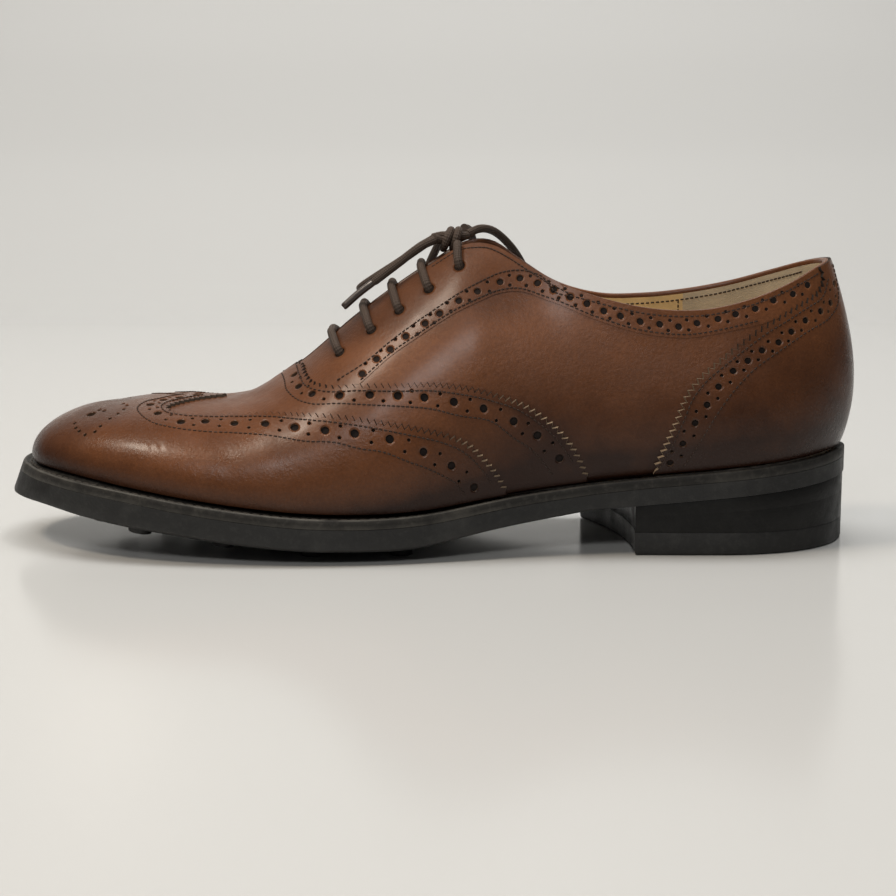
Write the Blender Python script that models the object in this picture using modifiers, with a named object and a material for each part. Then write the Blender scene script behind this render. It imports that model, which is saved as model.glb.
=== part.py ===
"""A man's left wingtip shoe: studded rubber sole, welt, heel, one hollow upper, overlays and laces.

The shoe stands on z = 0 with its toe toward -X, its heel toward +X and its outer side toward -Y.
Tables are in millimetres and are drawn for the sizes below; the meshes are in metres.
"""
import math

import bmesh
import bpy
import numpy as np
from mathutils.geometry import delaunay_2d_cdt

# Driving dimensions, in millimetres
LENGTH = 302.6          # outsole, toe tip to heel back
BALL_WIDTH = 108.0      # outsole across the ball
FACING_HEIGHT = 107.5   # top of the lace facings above the floor
TOP_PIECE = 8.0         # rubber lift that touches the floor
WELT_THICK = 3.5
WELT_WIDTH = 13.0
INSOLE_RISE = 2.0       # insole above the welt
WALL = 2.0              # leather and lining of the upper
OVERLAY = 1.1           # leather of one overlay
GAP = 0.3               # clearance between pieces that meet
STUD_DIAMETER = 8.0
STUD_DROP = 1.8         # stud below the sole around it
LACE = 3.0              # round lace
MM = 0.001

for old in list(bpy.data.objects):
    bpy.data.objects.remove(old)
SHOE = bpy.data.collections.new("wingtip_shoe")
CUTTERS = bpy.data.collections.new("cutters")
bpy.context.scene.collection.children.link(SHOE)
bpy.context.scene.collection.children.link(CUTTERS)


# Tables and smooth curves

def table(columns, rows):
    """Rows of numbers as one array for each named column."""
    values = np.array(rows, float)
    return {name: values[:, i] for i, name in enumerate(columns.split())}


def smooth(knots, values, at):
    """Smooth curve through the values at the knots, read at the given places."""
    knots = np.asarray(knots, float)
    values = np.asarray(values, float)
    at = np.atleast_1d(np.asarray(at, float))
    shape = (-1,) + (1,) * (values.ndim - 1)
    step = np.diff(knots).reshape(shape)
    slope = np.diff(values, axis=0) / step
    inner = (slope[:-1] * step[1:] + slope[1:] * step[:-1]) / (step[1:] + step[:-1])
    tangent = np.concatenate([slope[:1], inner, slope[-1:]])
    i = np.clip(np.searchsorted(knots, at) - 1, 0, len(knots) - 2)
    width = (knots[i + 1] - knots[i]).reshape(shape)
    t = ((at - knots[i]) / (knots[i + 1] - knots[i])).reshape(shape)
    return ((2 * t**3 - 3 * t**2 + 1) * values[i] + (t**3 - 2 * t**2 + t) * width * tangent[i]
            + (3 * t**2 - 2 * t**3) * values[i + 1] + (t**3 - t**2) * width * tangent[i + 1])


def closed_curve(points, places):
    """Points on a smooth closed curve, at places from 0 to 1 around it."""
    points = np.asarray(points, float)
    wrapped = np.vstack([points[-2:], points, points[:3]])
    run = np.concatenate([[0], np.cumsum(np.linalg.norm(np.diff(wrapped, axis=0), axis=1))])
    start, end = run[2], run[2 + len(points)]
    return smooth(run, wrapped, start + np.asarray(places) * (end - start))


def inset(loop, distance):
    """A closed plan loop moved inward by a distance."""
    along = np.roll(loop, -1, axis=0) - np.roll(loop, 1, axis=0)
    along /= np.linalg.norm(along, axis=1)[:, None]
    return loop + np.reshape(distance, (-1, 1)) * np.stack([along[:, 1], -along[:, 0]], axis=1)


# Sole outline and profile

OUTER_EDGE = table("x y", [
    (-151.3, 6), (-149.5, -5.5), (-143.3, -16.8), (-131, -28.2), (-113, -38.8), (-90, -46.4), (-65, -50.2),
    (-40, -51), (-18, -49.3), (5, -44.8), (28, -38.8), (50, -35), (72, -33.6), (95, -34),
    (115, -32.8), (131, -27), (143, -17), (149.4, -6), (151.3, 2)])
INNER_EDGE = table("x y", [
    (-149.7, 18.4), (-144, 29.6), (-132.4, 40), (-115.4, 49.2), (-95, 55), (-71, 57), (-50, 54.8),
    (-25, 48), (0, 40), (25, 34), (50, 32.2), (72, 33.2), (95, 34.6), (115, 33.6), (131, 28.6),
    (143, 19.5), (149.4, 10)])
PROFILE = table("x welt_top bottom crown", [
    (-152, 28.6, 17.2, 0.2), (-138, 27.9, 16.8, 0.8), (-122, 26.4, 14.6, 1.6),
    (-104, 24.3, 12.2, 2.6), (-85, 21.5, 10.0, 3.4), (-62, 18.5, 7.1, 3.6), (-42, 16.6, 5.3, 3.2),
    (-24, 16.0, 4.9, 3.0), (-6, 16.5, 5.2, 2.6), (-1, 16.9, 5.7, 2.1), (4, 17.5, 6.6, 1.7),
    (14, 19.1, 8.6, 1.3), (31, 21.8, 11.7, 0.8), (47, 23.9, 14.3, 0.4), (58, 25.3, 16.08, 0),
    (69, 26.5, 17.1, 0), (110, 30.3, 20.9, 0), (152, 34.2, 24.79, 0)])
BREAST = {"outer_x": 72.2, "inner_x": 57.6, "hollow": 4.2}
HEEL_MIDDLE = (105.0, 0.5)
HEEL_TRIM = 0.4         # heel inside the sole's edge
STUDS = table("x first_y last_y count", [
    (-129, -8, 22, 2), (-115, -20, 32, 3), (-100, -31, 43, 4), (-86, -22, 30, 3),
    (-71, -32, 40, 4), (-56, -22, 28, 3), (-40, -32, 36, 4), (-25, -22, 22, 3), (-9, -31, 30, 4)])
FLAT_STUDS = (-45.0, 0.0)
SOLE_ROWS = 30
TOE_BEVEL = {"inset": 4.2, "start_x": -118.0, "end_x": -146.0}

SCALE = np.array([LENGTH / 302.6, BALL_WIDTH / 108.0, FACING_HEIGHT / 107.5])
MIDDLE = np.array([1.47, 2.92, 0.0])
edge = np.vstack([np.stack([OUTER_EDGE["x"], OUTER_EDGE["y"]], 1)[::-1],
                  np.stack([INNER_EDGE["x"], INNER_EDGE["y"]], 1)])


def place(points):
    """Table points in metres, with the origin on the floor under the middle of the shoe's box."""
    return ((np.asarray(points, float) - MIDDLE) * SCALE * MM).tolist()


half_steps = (np.arange(2 * SOLE_ROWS) + 0.5) / (2 * SOLE_ROWS)
SOLE_LOOP = closed_curve(edge, half_steps)


def profile(column, x):
    """One column of the sole's side profile at x."""
    return smooth(PROFILE["x"], PROFILE[column], x)


def sole_bottom(x, side):
    """Underside of the outsole; side runs from -1 at one edge to 1 at the other."""
    return profile("bottom", x) - profile("crown", x) * (1 - side**4)


def bevelled(loop, height):
    """The sole's edge at a height: at the toe it leans in from the outsole's bottom to the welt's top."""
    start, end = TOE_BEVEL["start_x"], TOE_BEVEL["end_x"]
    lean = TOE_BEVEL["inset"] * np.clip((loop[:, 0] - start) / (end - start), 0, 1)**2
    low, high = profile("bottom", loop[:, 0]), profile("welt_top", loop[:, 0])
    return inset(loop, lean * (height - low) / (high - low))


def across(x):
    """Outer and inner edge of the sole at x."""
    dense = closed_curve(edge, np.linspace(0, 1, 801))
    tip = dense[:, 0].argmin()
    outer = np.interp(x, dense[:tip + 1, 0][::-1], dense[:tip + 1, 1][::-1])
    inner = np.interp(x, dense[tip:, 0], dense[tip:, 1])
    return outer, inner


# Materials and mesh building

def material(name, colour, roughness):
    """A plain material for one piece."""
    made = bpy.data.materials.new(name)
    made.use_nodes = True
    shader = made.node_tree.nodes["Principled BSDF"]
    shader.inputs["Base Color"].default_value = (*colour, 1)
    shader.inputs["Roughness"].default_value = roughness
    shader.inputs["Metallic"].default_value = 0
    return made


CALF = (0.16, 0.072, 0.032)
BURNISHED = (0.13, 0.055, 0.025)
RUBBER = (0.018, 0.017, 0.016)
LINING = (0.42, 0.27, 0.12)
CORD = (0.045, 0.03, 0.022)


def add_piece(name, mesh, colour, roughness, collection=SHOE):
    """An object for one piece, in its collection and with its own material."""
    piece = bpy.data.objects.new(name, mesh)
    collection.objects.link(piece)
    mesh.materials.append(material(name, colour, roughness))
    mesh.shade_smooth()
    mesh.set_sharp_from_angle(angle=math.radians(40))
    return piece


def mesh_from(name, points, faces):
    """A mesh from points in millimetres, with its faces turned the same way."""
    mesh = bpy.data.meshes.new(name)
    mesh.from_pydata(place(points), [], faces)
    work = bmesh.new()
    work.from_mesh(mesh)
    bmesh.ops.recalc_face_normals(work, faces=work.faces)
    work.to_mesh(mesh)
    work.free()
    return mesh


def loft(name, rings, ring_of_rings=False):
    """A solid through closed sections: capped at both ends, or joined round into a ring."""
    rings = np.asarray(rings, float)
    count, size = rings.shape[:2]
    faces = []
    for i in range(count if ring_of_rings else count - 1):
        j = (i + 1) % count
        for k in range(size):
            n = (k + 1) % size
            faces.append((i * size + k, i * size + n, j * size + n, j * size + k))
    if not ring_of_rings:
        faces.append(tuple(range(size)))
        faces.append(tuple(range((count - 1) * size, count * size)))
    return mesh_from(name, rings.reshape(-1, 3), faces)


def rungs(loop):
    """Pairs of points on the outer and inner side of a loop, heel to toe."""
    half = len(loop) // 2
    return loop[:half], loop[::-1][:half]


# Outsole with its studs

def make_outsole():
    """Rubber outsole: crowned underside, step at the waist, round studs under the forepart."""
    sides = np.linspace(-1, 1, 7)
    top_height = profile("welt_top", SOLE_LOOP[:, 0]) - WELT_THICK - GAP
    top_loop = np.column_stack([bevelled(SOLE_LOOP, top_height), top_height])
    rings = []
    for outer, inner, *top in zip(*rungs(SOLE_LOOP), *rungs(top_loop)):
        under = np.array([outer + (inner - outer) * (s + 1) / 2 for s in sides])
        low = np.column_stack([under, [sole_bottom(p[0], s)[0] for p, s in zip(under, sides)]])
        rings.append(np.vstack([low, top[::-1]]))
    outsole = add_piece("outsole", loft("outsole", rings), RUBBER, 0.55)
    studs = make_studs()
    union = outsole.modifiers.new("studs", "BOOLEAN")
    union.operation = "UNION"
    union.object = studs


def make_studs():
    """The forepart studs as one cutter, square to the sole; those under the ball end on the floor."""
    work = bmesh.new()
    for x, first, last, count in zip(*STUDS.values()):
        for y in np.linspace(first, last, int(count)):
            outer, inner = across(x)
            side = 2 * (y - outer) / (inner - outer) - 1
            low = sole_bottom(x, side)[0] - STUD_DROP
            slope = (sole_bottom(x + 4, side)[0] - sole_bottom(x - 4, side)[0]) / 8
            if FLAT_STUDS[0] < x < FLAT_STUDS[1]:
                low, slope = 0, 0
            made = bmesh.ops.create_cone(work, cap_ends=True, segments=8, depth=1,
                                         radius1=STUD_DIAMETER / 2, radius2=STUD_DIAMETER / 2)
            height = 2.5 + sole_bottom(x, side)[0] - low
            for vert in made["verts"]:
                vert.co.z = low + (vert.co.z + 0.5) * height + slope * vert.co.x
                vert.co.x += x
                vert.co.y += y
    for vert in work.verts:
        vert.co = place(vert.co)
    mesh = bpy.data.meshes.new("studs")
    work.to_mesh(mesh)
    work.free()
    cutter = bpy.data.objects.new("studs", mesh)
    CUTTERS.objects.link(cutter)
    cutter.hide_render = True
    cutter.display_type = "WIRE"
    return cutter


make_outsole()


# Welt, a strip all round under the edge of the upper

def make_welt():
    """Leather strip between outsole and upper, a little proud of the sole's side."""
    inner_loop = inset(SOLE_LOOP, WELT_WIDTH)
    high_out, high_in = (profile("welt_top", loop[:, 0]) for loop in (SOLE_LOOP, inner_loop))
    corners = (np.column_stack([bevelled(SOLE_LOOP, high_out - WELT_THICK), high_out - WELT_THICK]),
               np.column_stack([bevelled(SOLE_LOOP, high_out), high_out]),
               np.column_stack([inner_loop, high_in]),
               np.column_stack([inner_loop, high_in - WELT_THICK]))
    rings = np.stack(corners, axis=1)
    add_piece("welt", loft("welt", rings, ring_of_rings=True), RUBBER, 0.5)


make_welt()


# Heel: a block of lifts and the top piece under it

def heel_outline():
    """Plan of the heel: the hollow breast, then the sole's own edge round the back."""
    dense = closed_curve(edge, np.linspace(0, 1, 111)[:-1])
    tip = dense[:, 0].argmin()
    outer = [p for p in dense[:tip] if p[0] > BREAST["outer_x"] + 1]
    inner = [p for p in dense[tip:] if p[0] > BREAST["inner_x"] + 1]
    corner_out = (BREAST["outer_x"], across(BREAST["outer_x"])[0])
    corner_in = (BREAST["inner_x"], across(BREAST["inner_x"])[1])
    breast = []
    for s in np.linspace(-1, 1, 9):
        x = corner_in[0] + (corner_out[0] - corner_in[0]) * (1 - s) / 2 + BREAST["hollow"] * (1 - s**2)
        breast.append((x, corner_in[1] + (corner_out[1] - corner_in[1]) * (1 - s) / 2))
    return np.vstack([breast, inner, outer])


def make_heel():
    """Two prisms on the heel's plan; the block's top follows the slope of the heel seat."""
    plan = heel_outline()
    inward = np.array(HEEL_MIDDLE) - plan
    plan = plan + HEEL_TRIM * inward / np.linalg.norm(inward, axis=1)[:, None]
    seat = profile("bottom", plan[:, 0]) - GAP
    levels = (("heel_top_piece", np.zeros(len(plan)), np.full(len(plan), TOP_PIECE), 0.6),
              ("heel_block", np.full(len(plan), TOP_PIECE + GAP), seat, 0.45))
    for name, low, high, roughness in levels:
        rings = [np.column_stack([plan, low]), np.column_stack([plan, high])]
        add_piece(name, loft(name, rings), RUBBER, roughness)


make_heel()


# The last: ribs from the welt up to the ridge, the facings and the collar

# Each rib leaves the welt at its feather point, swells outward and runs up to its top point.
# heading turns from 0 at the toe to 180 at the heel back; out and top give the two ends of the rib:
# how far it holds its direction, and that direction's lean from upright or dip from level.
RIB_COLUMNS = "feather_x feather_y top_x top_y top_z heading out_run out_lean top_run top_dip"
TOE_RIB = (-142.6, 6, -119, 5, 47.2, 0, 11.5, 10, 9.5, 11)
OUTER_RIBS = table(RIB_COLUMNS, [
    (-141.2, -4, -118, 5, 47.5, 20, 11.8, 11, 10.5, 9),
    (-136.8, -12.8, -116, 5, 47.8, 42, 13, 12.5, 12.6, 5.5),
    (-127, -22.4, -111.4, 5, 48.1, 65, 15, 14, 16.5, 2.5),
    (-110.6, -32, -103, 5, 48.4, 80, 17.4, 15.5, 20.5, 0.5),
    (-89.4, -39.2, -88, 4.5, 49.2, 88, 20, 16, 23, 0),
    (-65, -43.3, -63, 4, 52, 90, 22, 15, 23, 0),
    (-51, -44.3, -48.8, 1.5, 61.4, 90, 24, 14, 23, 8),
    (-39.5, -44.3, -40, -3.5, 68.2, 90, 25, 13, 25, 18),
    (-28, -43.9, -28, -5.5, 78.6, 90, 27, 12, 27, 24),
    (-12, -42.2, -12, -7, 90.6, 90, 29, 12, 30, 29),
    (4, -39.2, 2, -8.5, 99.8, 90, 30, 12, 32, 34),
    (18, -36.1, 14, -10, 106.6, 90, 30, 13, 33, 40),
    (30, -33.6, 24, -13.5, 106.2, 90, 29, 15, 32, 50),
    (41, -32.1, 34, -18.5, 100.6, 90, 27, 18, 30, 60),
    (52, -31.1, 46, -23, 94.1, 91, 25, 21, 27, 70),
    (66, -30.3, 62, -26, 88.6, 92, 23, 24, 24, 78),
    (82, -30.2, 80, -27.4, 85.2, 94, 22, 25, 22, 82),
    (98, -30.4, 97, -27, 85.2, 98, 22, 25, 22, 82),
    (114, -29.2, 113, -25, 88.8, 108, 22, 25, 22, 80),
    (128, -24.4, 126, -20.6, 93.6, 125, 23, 24, 23, 77),
    (139, -15.8, 136, -14, 98.4, 148, 24, 23, 25, 74),
    (145.8, -6.5, 141.4, -6.6, 100.5, 168, 24, 22, 26, 72)])
INNER_RIBS = table(RIB_COLUMNS, [
    (-141.6, 14.6, -118, 5, 47.5, 20, 11.8, 11, 10.5, 9),
    (-137.6, 23.6, -116, 5, 47.8, 42, 13, 12.5, 12.6, 5.5),
    (-128, 32.4, -111.4, 5, 48.1, 65, 15, 14, 16.5, 2.5),
    (-111.4, 40.8, -103, 5, 48.4, 80, 17.4, 15.5, 20.5, 0.5),
    (-90, 46.8, -88, 4.5, 49.2, 90, 20, 16, 23, 0),
    (-67, 49.2, -63, 4, 52, 92, 22, 15, 23, 0),
    (-53.5, 48.1, -48.8, 1.5, 61.4, 91, 24, 14, 23, 8),
    (-42.5, 46, -40, 4.5, 68.2, 90, 25, 13, 25, 18),
    (-31, 43, -28, 5.5, 78.6, 90, 27, 12, 27, 24),
    (-15, 38.2, -12, 7, 90.6, 90, 29, 12, 30, 29),
    (2, 33.8, 2, 8.5, 99.8, 90, 30, 13, 32, 34),
    (17, 30.8, 14, 10, 106.6, 90, 30, 15, 33, 40),
    (30, 29.1, 24, 13.5, 106.4, 90, 29, 18, 32, 50),
    (41, 28.4, 34, 18, 99.6, 90, 27, 20, 30, 60),
    (52, 28.3, 46, 22.3, 91.8, 90, 25, 22, 27, 70),
    (66, 28.9, 62, 25.4, 86.8, 90, 23, 24, 24, 78),
    (82, 30, 80, 27, 86.4, 92, 22, 25, 22, 82),
    (98, 30.8, 97, 27, 88.2, 97, 22, 25, 22, 82),
    (114, 29.9, 113, 25.6, 91.4, 107, 22, 25, 22, 80),
    (128, 25.6, 126, 21.4, 95.4, 124, 23, 24, 23, 77),
    (139, 17.6, 136, 15, 98.8, 147, 24, 23, 25, 74),
    (145.8, 9, 141.4, 8, 100.5, 168, 24, 22, 26, 72)])
BACK_RIB = (148, 1.2, 142.8, 0.7, 101, 180, 24, 22, 26, 72)
THROAT_RIB = 7
TOE_EASE = 1.55         # pattern length eased in round the toe point

outer_rows = np.column_stack(list(OUTER_RIBS.values()))
inner_rows = np.column_stack(list(INNER_RIBS.values()))
outer_rows = outer_rows * np.where(np.arange(10) == 5, -1, 1)
RIBS = np.vstack([outer_rows[::-1], TOE_RIB, inner_rows])
halves = [np.vstack([TOE_RIB, rows, BACK_RIB])[:, :2] for rows in (outer_rows, inner_rows)]
STATIONS = np.concatenate([[0], np.cumsum(np.mean(
    [np.linalg.norm(np.diff(h, axis=0), axis=1) for h in halves], axis=0))])
STATIONS[1:] += TOE_EASE
BACK = STATIONS[-1]
THROAT = STATIONS[THROAT_RIB]

turn = np.where(np.arange(10) == 5, 360, 0)
back_out = np.array(BACK_RIB) * np.where(np.arange(10) == 5, -1, 1)
LOOP_ROWS = np.vstack([inner_rows[-1] - turn, back_out, RIBS, BACK_RIB, outer_rows[-1] + turn])
LOOP_KNOTS = np.concatenate([[-2 * BACK + STATIONS[-2]], -STATIONS[::-1], STATIONS[1:],
                             [2 * BACK - STATIONS[-2]]])


def rib_controls(along):
    """Four control points of each rib; along is minus on the outer side, plus on the inner side."""
    along = np.atleast_1d(np.asarray(along, float))
    row = smooth(LOOP_KNOTS, LOOP_ROWS, along)
    twin = smooth(LOOP_KNOTS, LOOP_ROWS, -along)
    top = np.where((np.abs(along) <= THROAT)[:, None], (row[:, 2:5] + twin[:, 2:5]) / 2, row[:, 2:5])
    feather = np.column_stack([row[:, :2], profile("welt_top", row[:, 0]) + GAP])
    heading, lean, dip = (np.radians(row[:, k]) for k in (5, 7, 9))
    out = np.column_stack([-np.cos(heading), np.sin(heading), np.zeros(len(row))])
    up = np.array([0.0, 0.0, 1.0])
    swell = feather + row[:, 6:7] * (np.sin(lean)[:, None] * out + np.cos(lean)[:, None] * up)
    reach = top + row[:, 8:9] * (np.cos(dip)[:, None] * out - np.sin(dip)[:, None] * up)
    return np.stack([feather, swell, reach, top], axis=1)


def bezier(controls, t):
    """Point on each rib at its own t."""
    t = t[:, None]
    return ((1 - t)**3 * controls[:, 0] + 3 * t * (1 - t)**2 * controls[:, 1]
            + 3 * t**2 * (1 - t) * controls[:, 2] + t**3 * controls[:, 3])


def rib_lengths(controls, steps=24):
    """Length run along each rib at even steps."""
    points = np.stack([bezier(controls, np.full(len(controls), k / steps)) for k in range(steps + 1)], 1)
    run = np.cumsum(np.linalg.norm(np.diff(points, axis=1), axis=2), axis=1)
    return np.column_stack([np.zeros(len(controls)), run])


def last(along, height):
    """Point of the upper's outer face: along the welt from the toe, height 0 to 1 up the rib."""
    along, height = np.broadcast_arrays(np.atleast_1d(along).astype(float), height)
    controls = rib_controls(along)
    run = rib_lengths(controls)
    run = run / run[:, -1:]
    steps = run.shape[1] - 1
    i = np.clip((run < height[:, None]).sum(axis=1), 1, steps)
    rows = np.arange(len(along))
    part = (height - run[rows, i - 1]) / (run[rows, i] - run[rows, i - 1])
    return bezier(controls, (i - 1 + part) / steps)


def last_normal(along, height):
    """Outward direction of the upper's face."""
    along, height = np.broadcast_arrays(np.atleast_1d(along).astype(float), height)
    height = np.clip(height, 0.02, 0.97)
    side = last(along + 0.6, height) - last(along - 0.6, height)
    rise = last(along, height + 0.015) - last(along, height - 0.015)
    normal = np.cross(rise, side)
    return normal / np.linalg.norm(normal, axis=1)[:, None]


def rib_height(along):
    """Mean length of the outer and inner rib at a distance along the welt."""
    both = [rib_lengths(rib_controls(sign * np.atleast_1d(along)))[:, -1] for sign in (-1, 1)]
    return (both[0] + both[1]) / 2


# Upper: one hollow shell, open at the collar, the throat and underneath

UPPER_ROWS = 8
COLUMNS = np.sort(np.concatenate([STATIONS, (STATIONS[1:] + STATIONS[:-1]) / 2]))
HEIGHTS = np.linspace(0, 1, UPPER_ROWS + 1)


def skin(along, height, lift):
    """Point a little off the upper's face, the same on both sides where the halves join."""
    along, height = np.broadcast_arrays(np.atleast_1d(along).astype(float), height)
    normal = last_normal(along, height)
    joined = (np.abs(along) > BACK - 0.001) | ((height > 0.999) & (np.abs(along) < THROAT + 0.001))
    normal = np.where(joined[:, None], normal + last_normal(-along, height), normal)
    return last(along, height) + lift * normal / np.linalg.norm(normal, axis=1)[:, None]


def welded(points, faces):
    """Points that coincide made one, so that two halves become one surface."""
    keys = {}
    first = []
    index = []
    for k, point in enumerate(points):
        key = tuple(np.round(point, 3) + 0.0)
        if key not in keys:
            keys[key] = len(keys)
            first.append(k)
        index.append(keys[key])
    clean = [tuple(dict.fromkeys(index[v] for v in face)) for face in faces]
    return points[first], [face for face in clean if len(face) > 2]


def add_shell(name, points, faces, thickness, colour, roughness, side):
    """A surface given its thickness on one side: 1 outward, -1 inward."""
    points, faces = welded(points, faces)
    mesh = bpy.data.meshes.new(name)
    mesh.from_pydata(place(points), [], faces)
    piece = add_piece(name, mesh, colour, roughness)
    wall = piece.modifiers.new("wall", "SOLIDIFY")
    wall.thickness = thickness * MM
    wall.offset = side


def make_upper():
    """Grid of ribs on both sides, joined at the toe, the ridge and the heel back."""
    size = len(HEIGHTS)
    points = []
    faces = []
    for sign in (-1, 1):
        for i, along in enumerate(COLUMNS):
            base = len(points) * size
            points.append(last(np.full(size, sign * along), HEIGHTS))
            for j in range(UPPER_ROWS if i else 0):
                face = (base + j - size, base + j + 1 - size, base + j + 1, base + j)
                faces.append(face[::sign])
    add_shell("upper", np.vstack(points), faces, WALL, CALF, 0.38, side=-1)


make_upper()


# Insole, seated inside the welt with its rim over it

def make_insole():
    """Flat leather insole: a plug inside the welt and a wider top up to the upper's lining."""
    places = half_steps * 2 - 1
    feather = rib_controls(places * BACK)[:, 0, :2]
    rim = inset(feather, WALL + 0.8)
    plug = inset(SOLE_LOOP, WELT_WIDTH + 0.5)
    levels = ((plug, GAP - WELT_THICK), (plug, GAP), (rim, GAP), (rim, INSOLE_RISE))
    rings = []
    for k in range(SOLE_ROWS):
        ring = []
        for side in (k, 2 * SOLE_ROWS - 1 - k):
            stack = [(*loop[side], profile("welt_top", loop[side][0])[0] + rise) for loop, rise in levels]
            ring.extend(stack if side == k else stack[::-1])
        rings.append(ring)
    add_piece("insole", loft("insole", rings), LINING, 0.6)


make_insole()


# Overlays: wing cap, vamp, heel counter and facing strips, each cut from the upper's own function

# Each line runs on the upper's flat pattern: along from the toe, up from the welt.
# The wing's edge runs from its point on the ridge round the lobe and back down to the waist.
TOP = 999
WING_EDGE = table("along up", [
    (90, TOP), (84, 57), (77.5, 49.5), (72.5, 43), (71, 40), (73.5, 36.6), (79, 35.3), (86, 36), (96, 37),
    (108, 36.4), (122, 35), (136, 33.4), (150, 31), (162, 28.4), (172, 25.2), (180, 20.8), (186, 14.4),
    (190.5, 8), (194, 1.2)])
VAMP_EDGE = table("along up", [
    (113, TOP), (118, 67), (121, 57.5), (124.5, 50.5), (130, 46.6), (142, 45), (155, 43.8), (168, 42.8),
    (180, 39.8), (191, 35.8), (202, 30.6), (209, 25), (214.5, 18.6), (219, 10.6), (222.5, 1.2)])
COUNTER_EDGE = table("along up", [
    (311, TOP), (312, 63.5), (307.5, 58.6), (300, 56), (291, 52.8), (283, 49.4), (275.5, 45), (268.5, 40),
    (262, 34.8), (257, 28.6), (253.5, 20.6), (249.5, 11.6), (245.5, 1.2)])
STRIP_LINE = table("along up", [
    (141, 46.2), (153, 56), (163, 61), (172.5, 65), (189, 69.4), (197, 71), (205, 70.6), (216, 64.6),
    (230, 56), (240, 51.8), (249, 49.8), (258, 49), (269, 50), (283.5, 51.4)])
SEAM = 0.6              # gap along a strip's ends
LIFT = 0.6              # clearance under an overlay
WELT_CLEAR = 1.2        # overlays stop this far above the welt
STRIP = 0.8             # leather of a facing strip
STRIP_LIFT = 0.75       # facing strip off the upper
VAMP_FRONT = 64.0       # the vamp stops here, under the wing
WING_RAMP = (40.0, 61.0)


def line(rows, shift=0.0):
    """A pattern line as smooth points about 7 mm apart, moved along the shoe by shift."""
    along = rows["along"] + shift
    points = np.column_stack([along, np.minimum(rows["up"], rib_height(along))])
    run = np.concatenate([[0], np.cumsum(np.linalg.norm(np.diff(points, axis=0), axis=1))])
    points = smooth(run, points, np.linspace(0, run[-1], int(run[-1] / 7) + 2))
    points[:, 1] = np.minimum(points[:, 1], rib_height(points[:, 0]))
    return points


def between(first, last_place):
    """The upper's own columns between two places along the shoe, in that order."""
    low, high = sorted((first, last_place))
    inner = COLUMNS[(COLUMNS > low + 1.5) & (COLUMNS < high - 1.5)]
    return inner if first < last_place else inner[::-1]


def at_welt(first, last_place):
    """Pattern points along the welt."""
    places = between(first, last_place)
    return np.column_stack([places, np.full(len(places), WELT_CLEAR)])


def at_top(first, last_place):
    """Pattern points along the ridge, facing or collar."""
    places = between(first, last_place)
    return np.column_stack([places, rib_height(places)])


def up_rib(place):
    """Pattern points up one rib, from the welt to the top."""
    height = rib_height(place)[0]
    ups = np.concatenate([[WELT_CLEAR], HEIGHTS[1:] * height])
    return np.column_stack([np.full(len(ups), place), ups])


def inside(outline, points):
    """Which points lie inside a closed outline and clear of it."""
    hit = np.zeros(len(points), bool)
    near = np.full(len(points), np.inf)
    for a, b in zip(outline, np.roll(outline, -1, axis=0)):
        cuts = (a[1] > points[:, 1]) != (b[1] > points[:, 1])
        rise = b[1] - a[1] if b[1] != a[1] else 1
        hit ^= cuts & (points[:, 0] < (b[0] - a[0]) * (points[:, 1] - a[1]) / rise + a[0])
        t = np.clip(((points - a) @ (b - a)) / ((b - a) @ (b - a)), 0, 1)
        near = np.minimum(near, np.linalg.norm(points - a - t[:, None] * (b - a), axis=1))
    return hit & (near > 2)


def panel(outline):
    """Flat mesh of a pattern outline, on the upper's own grid points."""
    grid = np.array([(a, h * rib_height(a)[0]) for a in COLUMNS for h in HEIGHTS])
    points = np.vstack([outline, grid[inside(outline, grid)]])
    count = len(outline)
    edges = [(i, (i + 1) % count) for i in range(count)]
    flat, _, faces, *_ = delaunay_2d_cdt([tuple(p) for p in points], edges, [], 1, 1e-5)
    return np.array([tuple(p) for p in flat]), [tuple(f) for f in faces]


def wing_lift(along):
    """The wing lies over the vamp near its edge and comes down onto the upper toward the toe."""
    return LIFT + (LIFT + OVERLAY) * np.clip((along - WING_RAMP[0]) / (WING_RAMP[1] - WING_RAMP[0]), 0, 1)


def add_overlay(name, outline, lift, thickness, colour, roughness, signs=(-1, 1)):
    """A panel laid on one or both sides of the upper, as one solid; lift may vary along the shoe."""
    flat, faces = panel(outline)
    height = np.clip(flat[:, 1] / rib_height(flat[:, 0]), 0, 1)
    lift = np.reshape(lift(flat[:, 0]) if callable(lift) else lift, (-1, 1))
    points = []
    turned = []
    for k, sign in enumerate(signs):
        points.append(skin(sign * flat[:, 0], height, lift))
        turned += [tuple(v + k * len(flat) for v in face[::-sign]) for face in faces]
    add_shell(name, np.vstack(points), turned, thickness, colour, roughness, side=1)


wing = line(WING_EDGE)
vamp = line(VAMP_EDGE)
counter = line(COUNTER_EDGE)
strip = line(STRIP_LINE)
toe = up_rib(0.0)
back = up_rib(BACK)
strip_front = line(VAMP_EDGE, SEAM)
strip_front = strip_front[strip_front[:, 1] > strip[0, 1] + 1]
strip_back = line(COUNTER_EDGE, -SEAM)
strip_back = strip_back[strip_back[:, 1] > strip[-1, 1] + 1]

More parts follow.
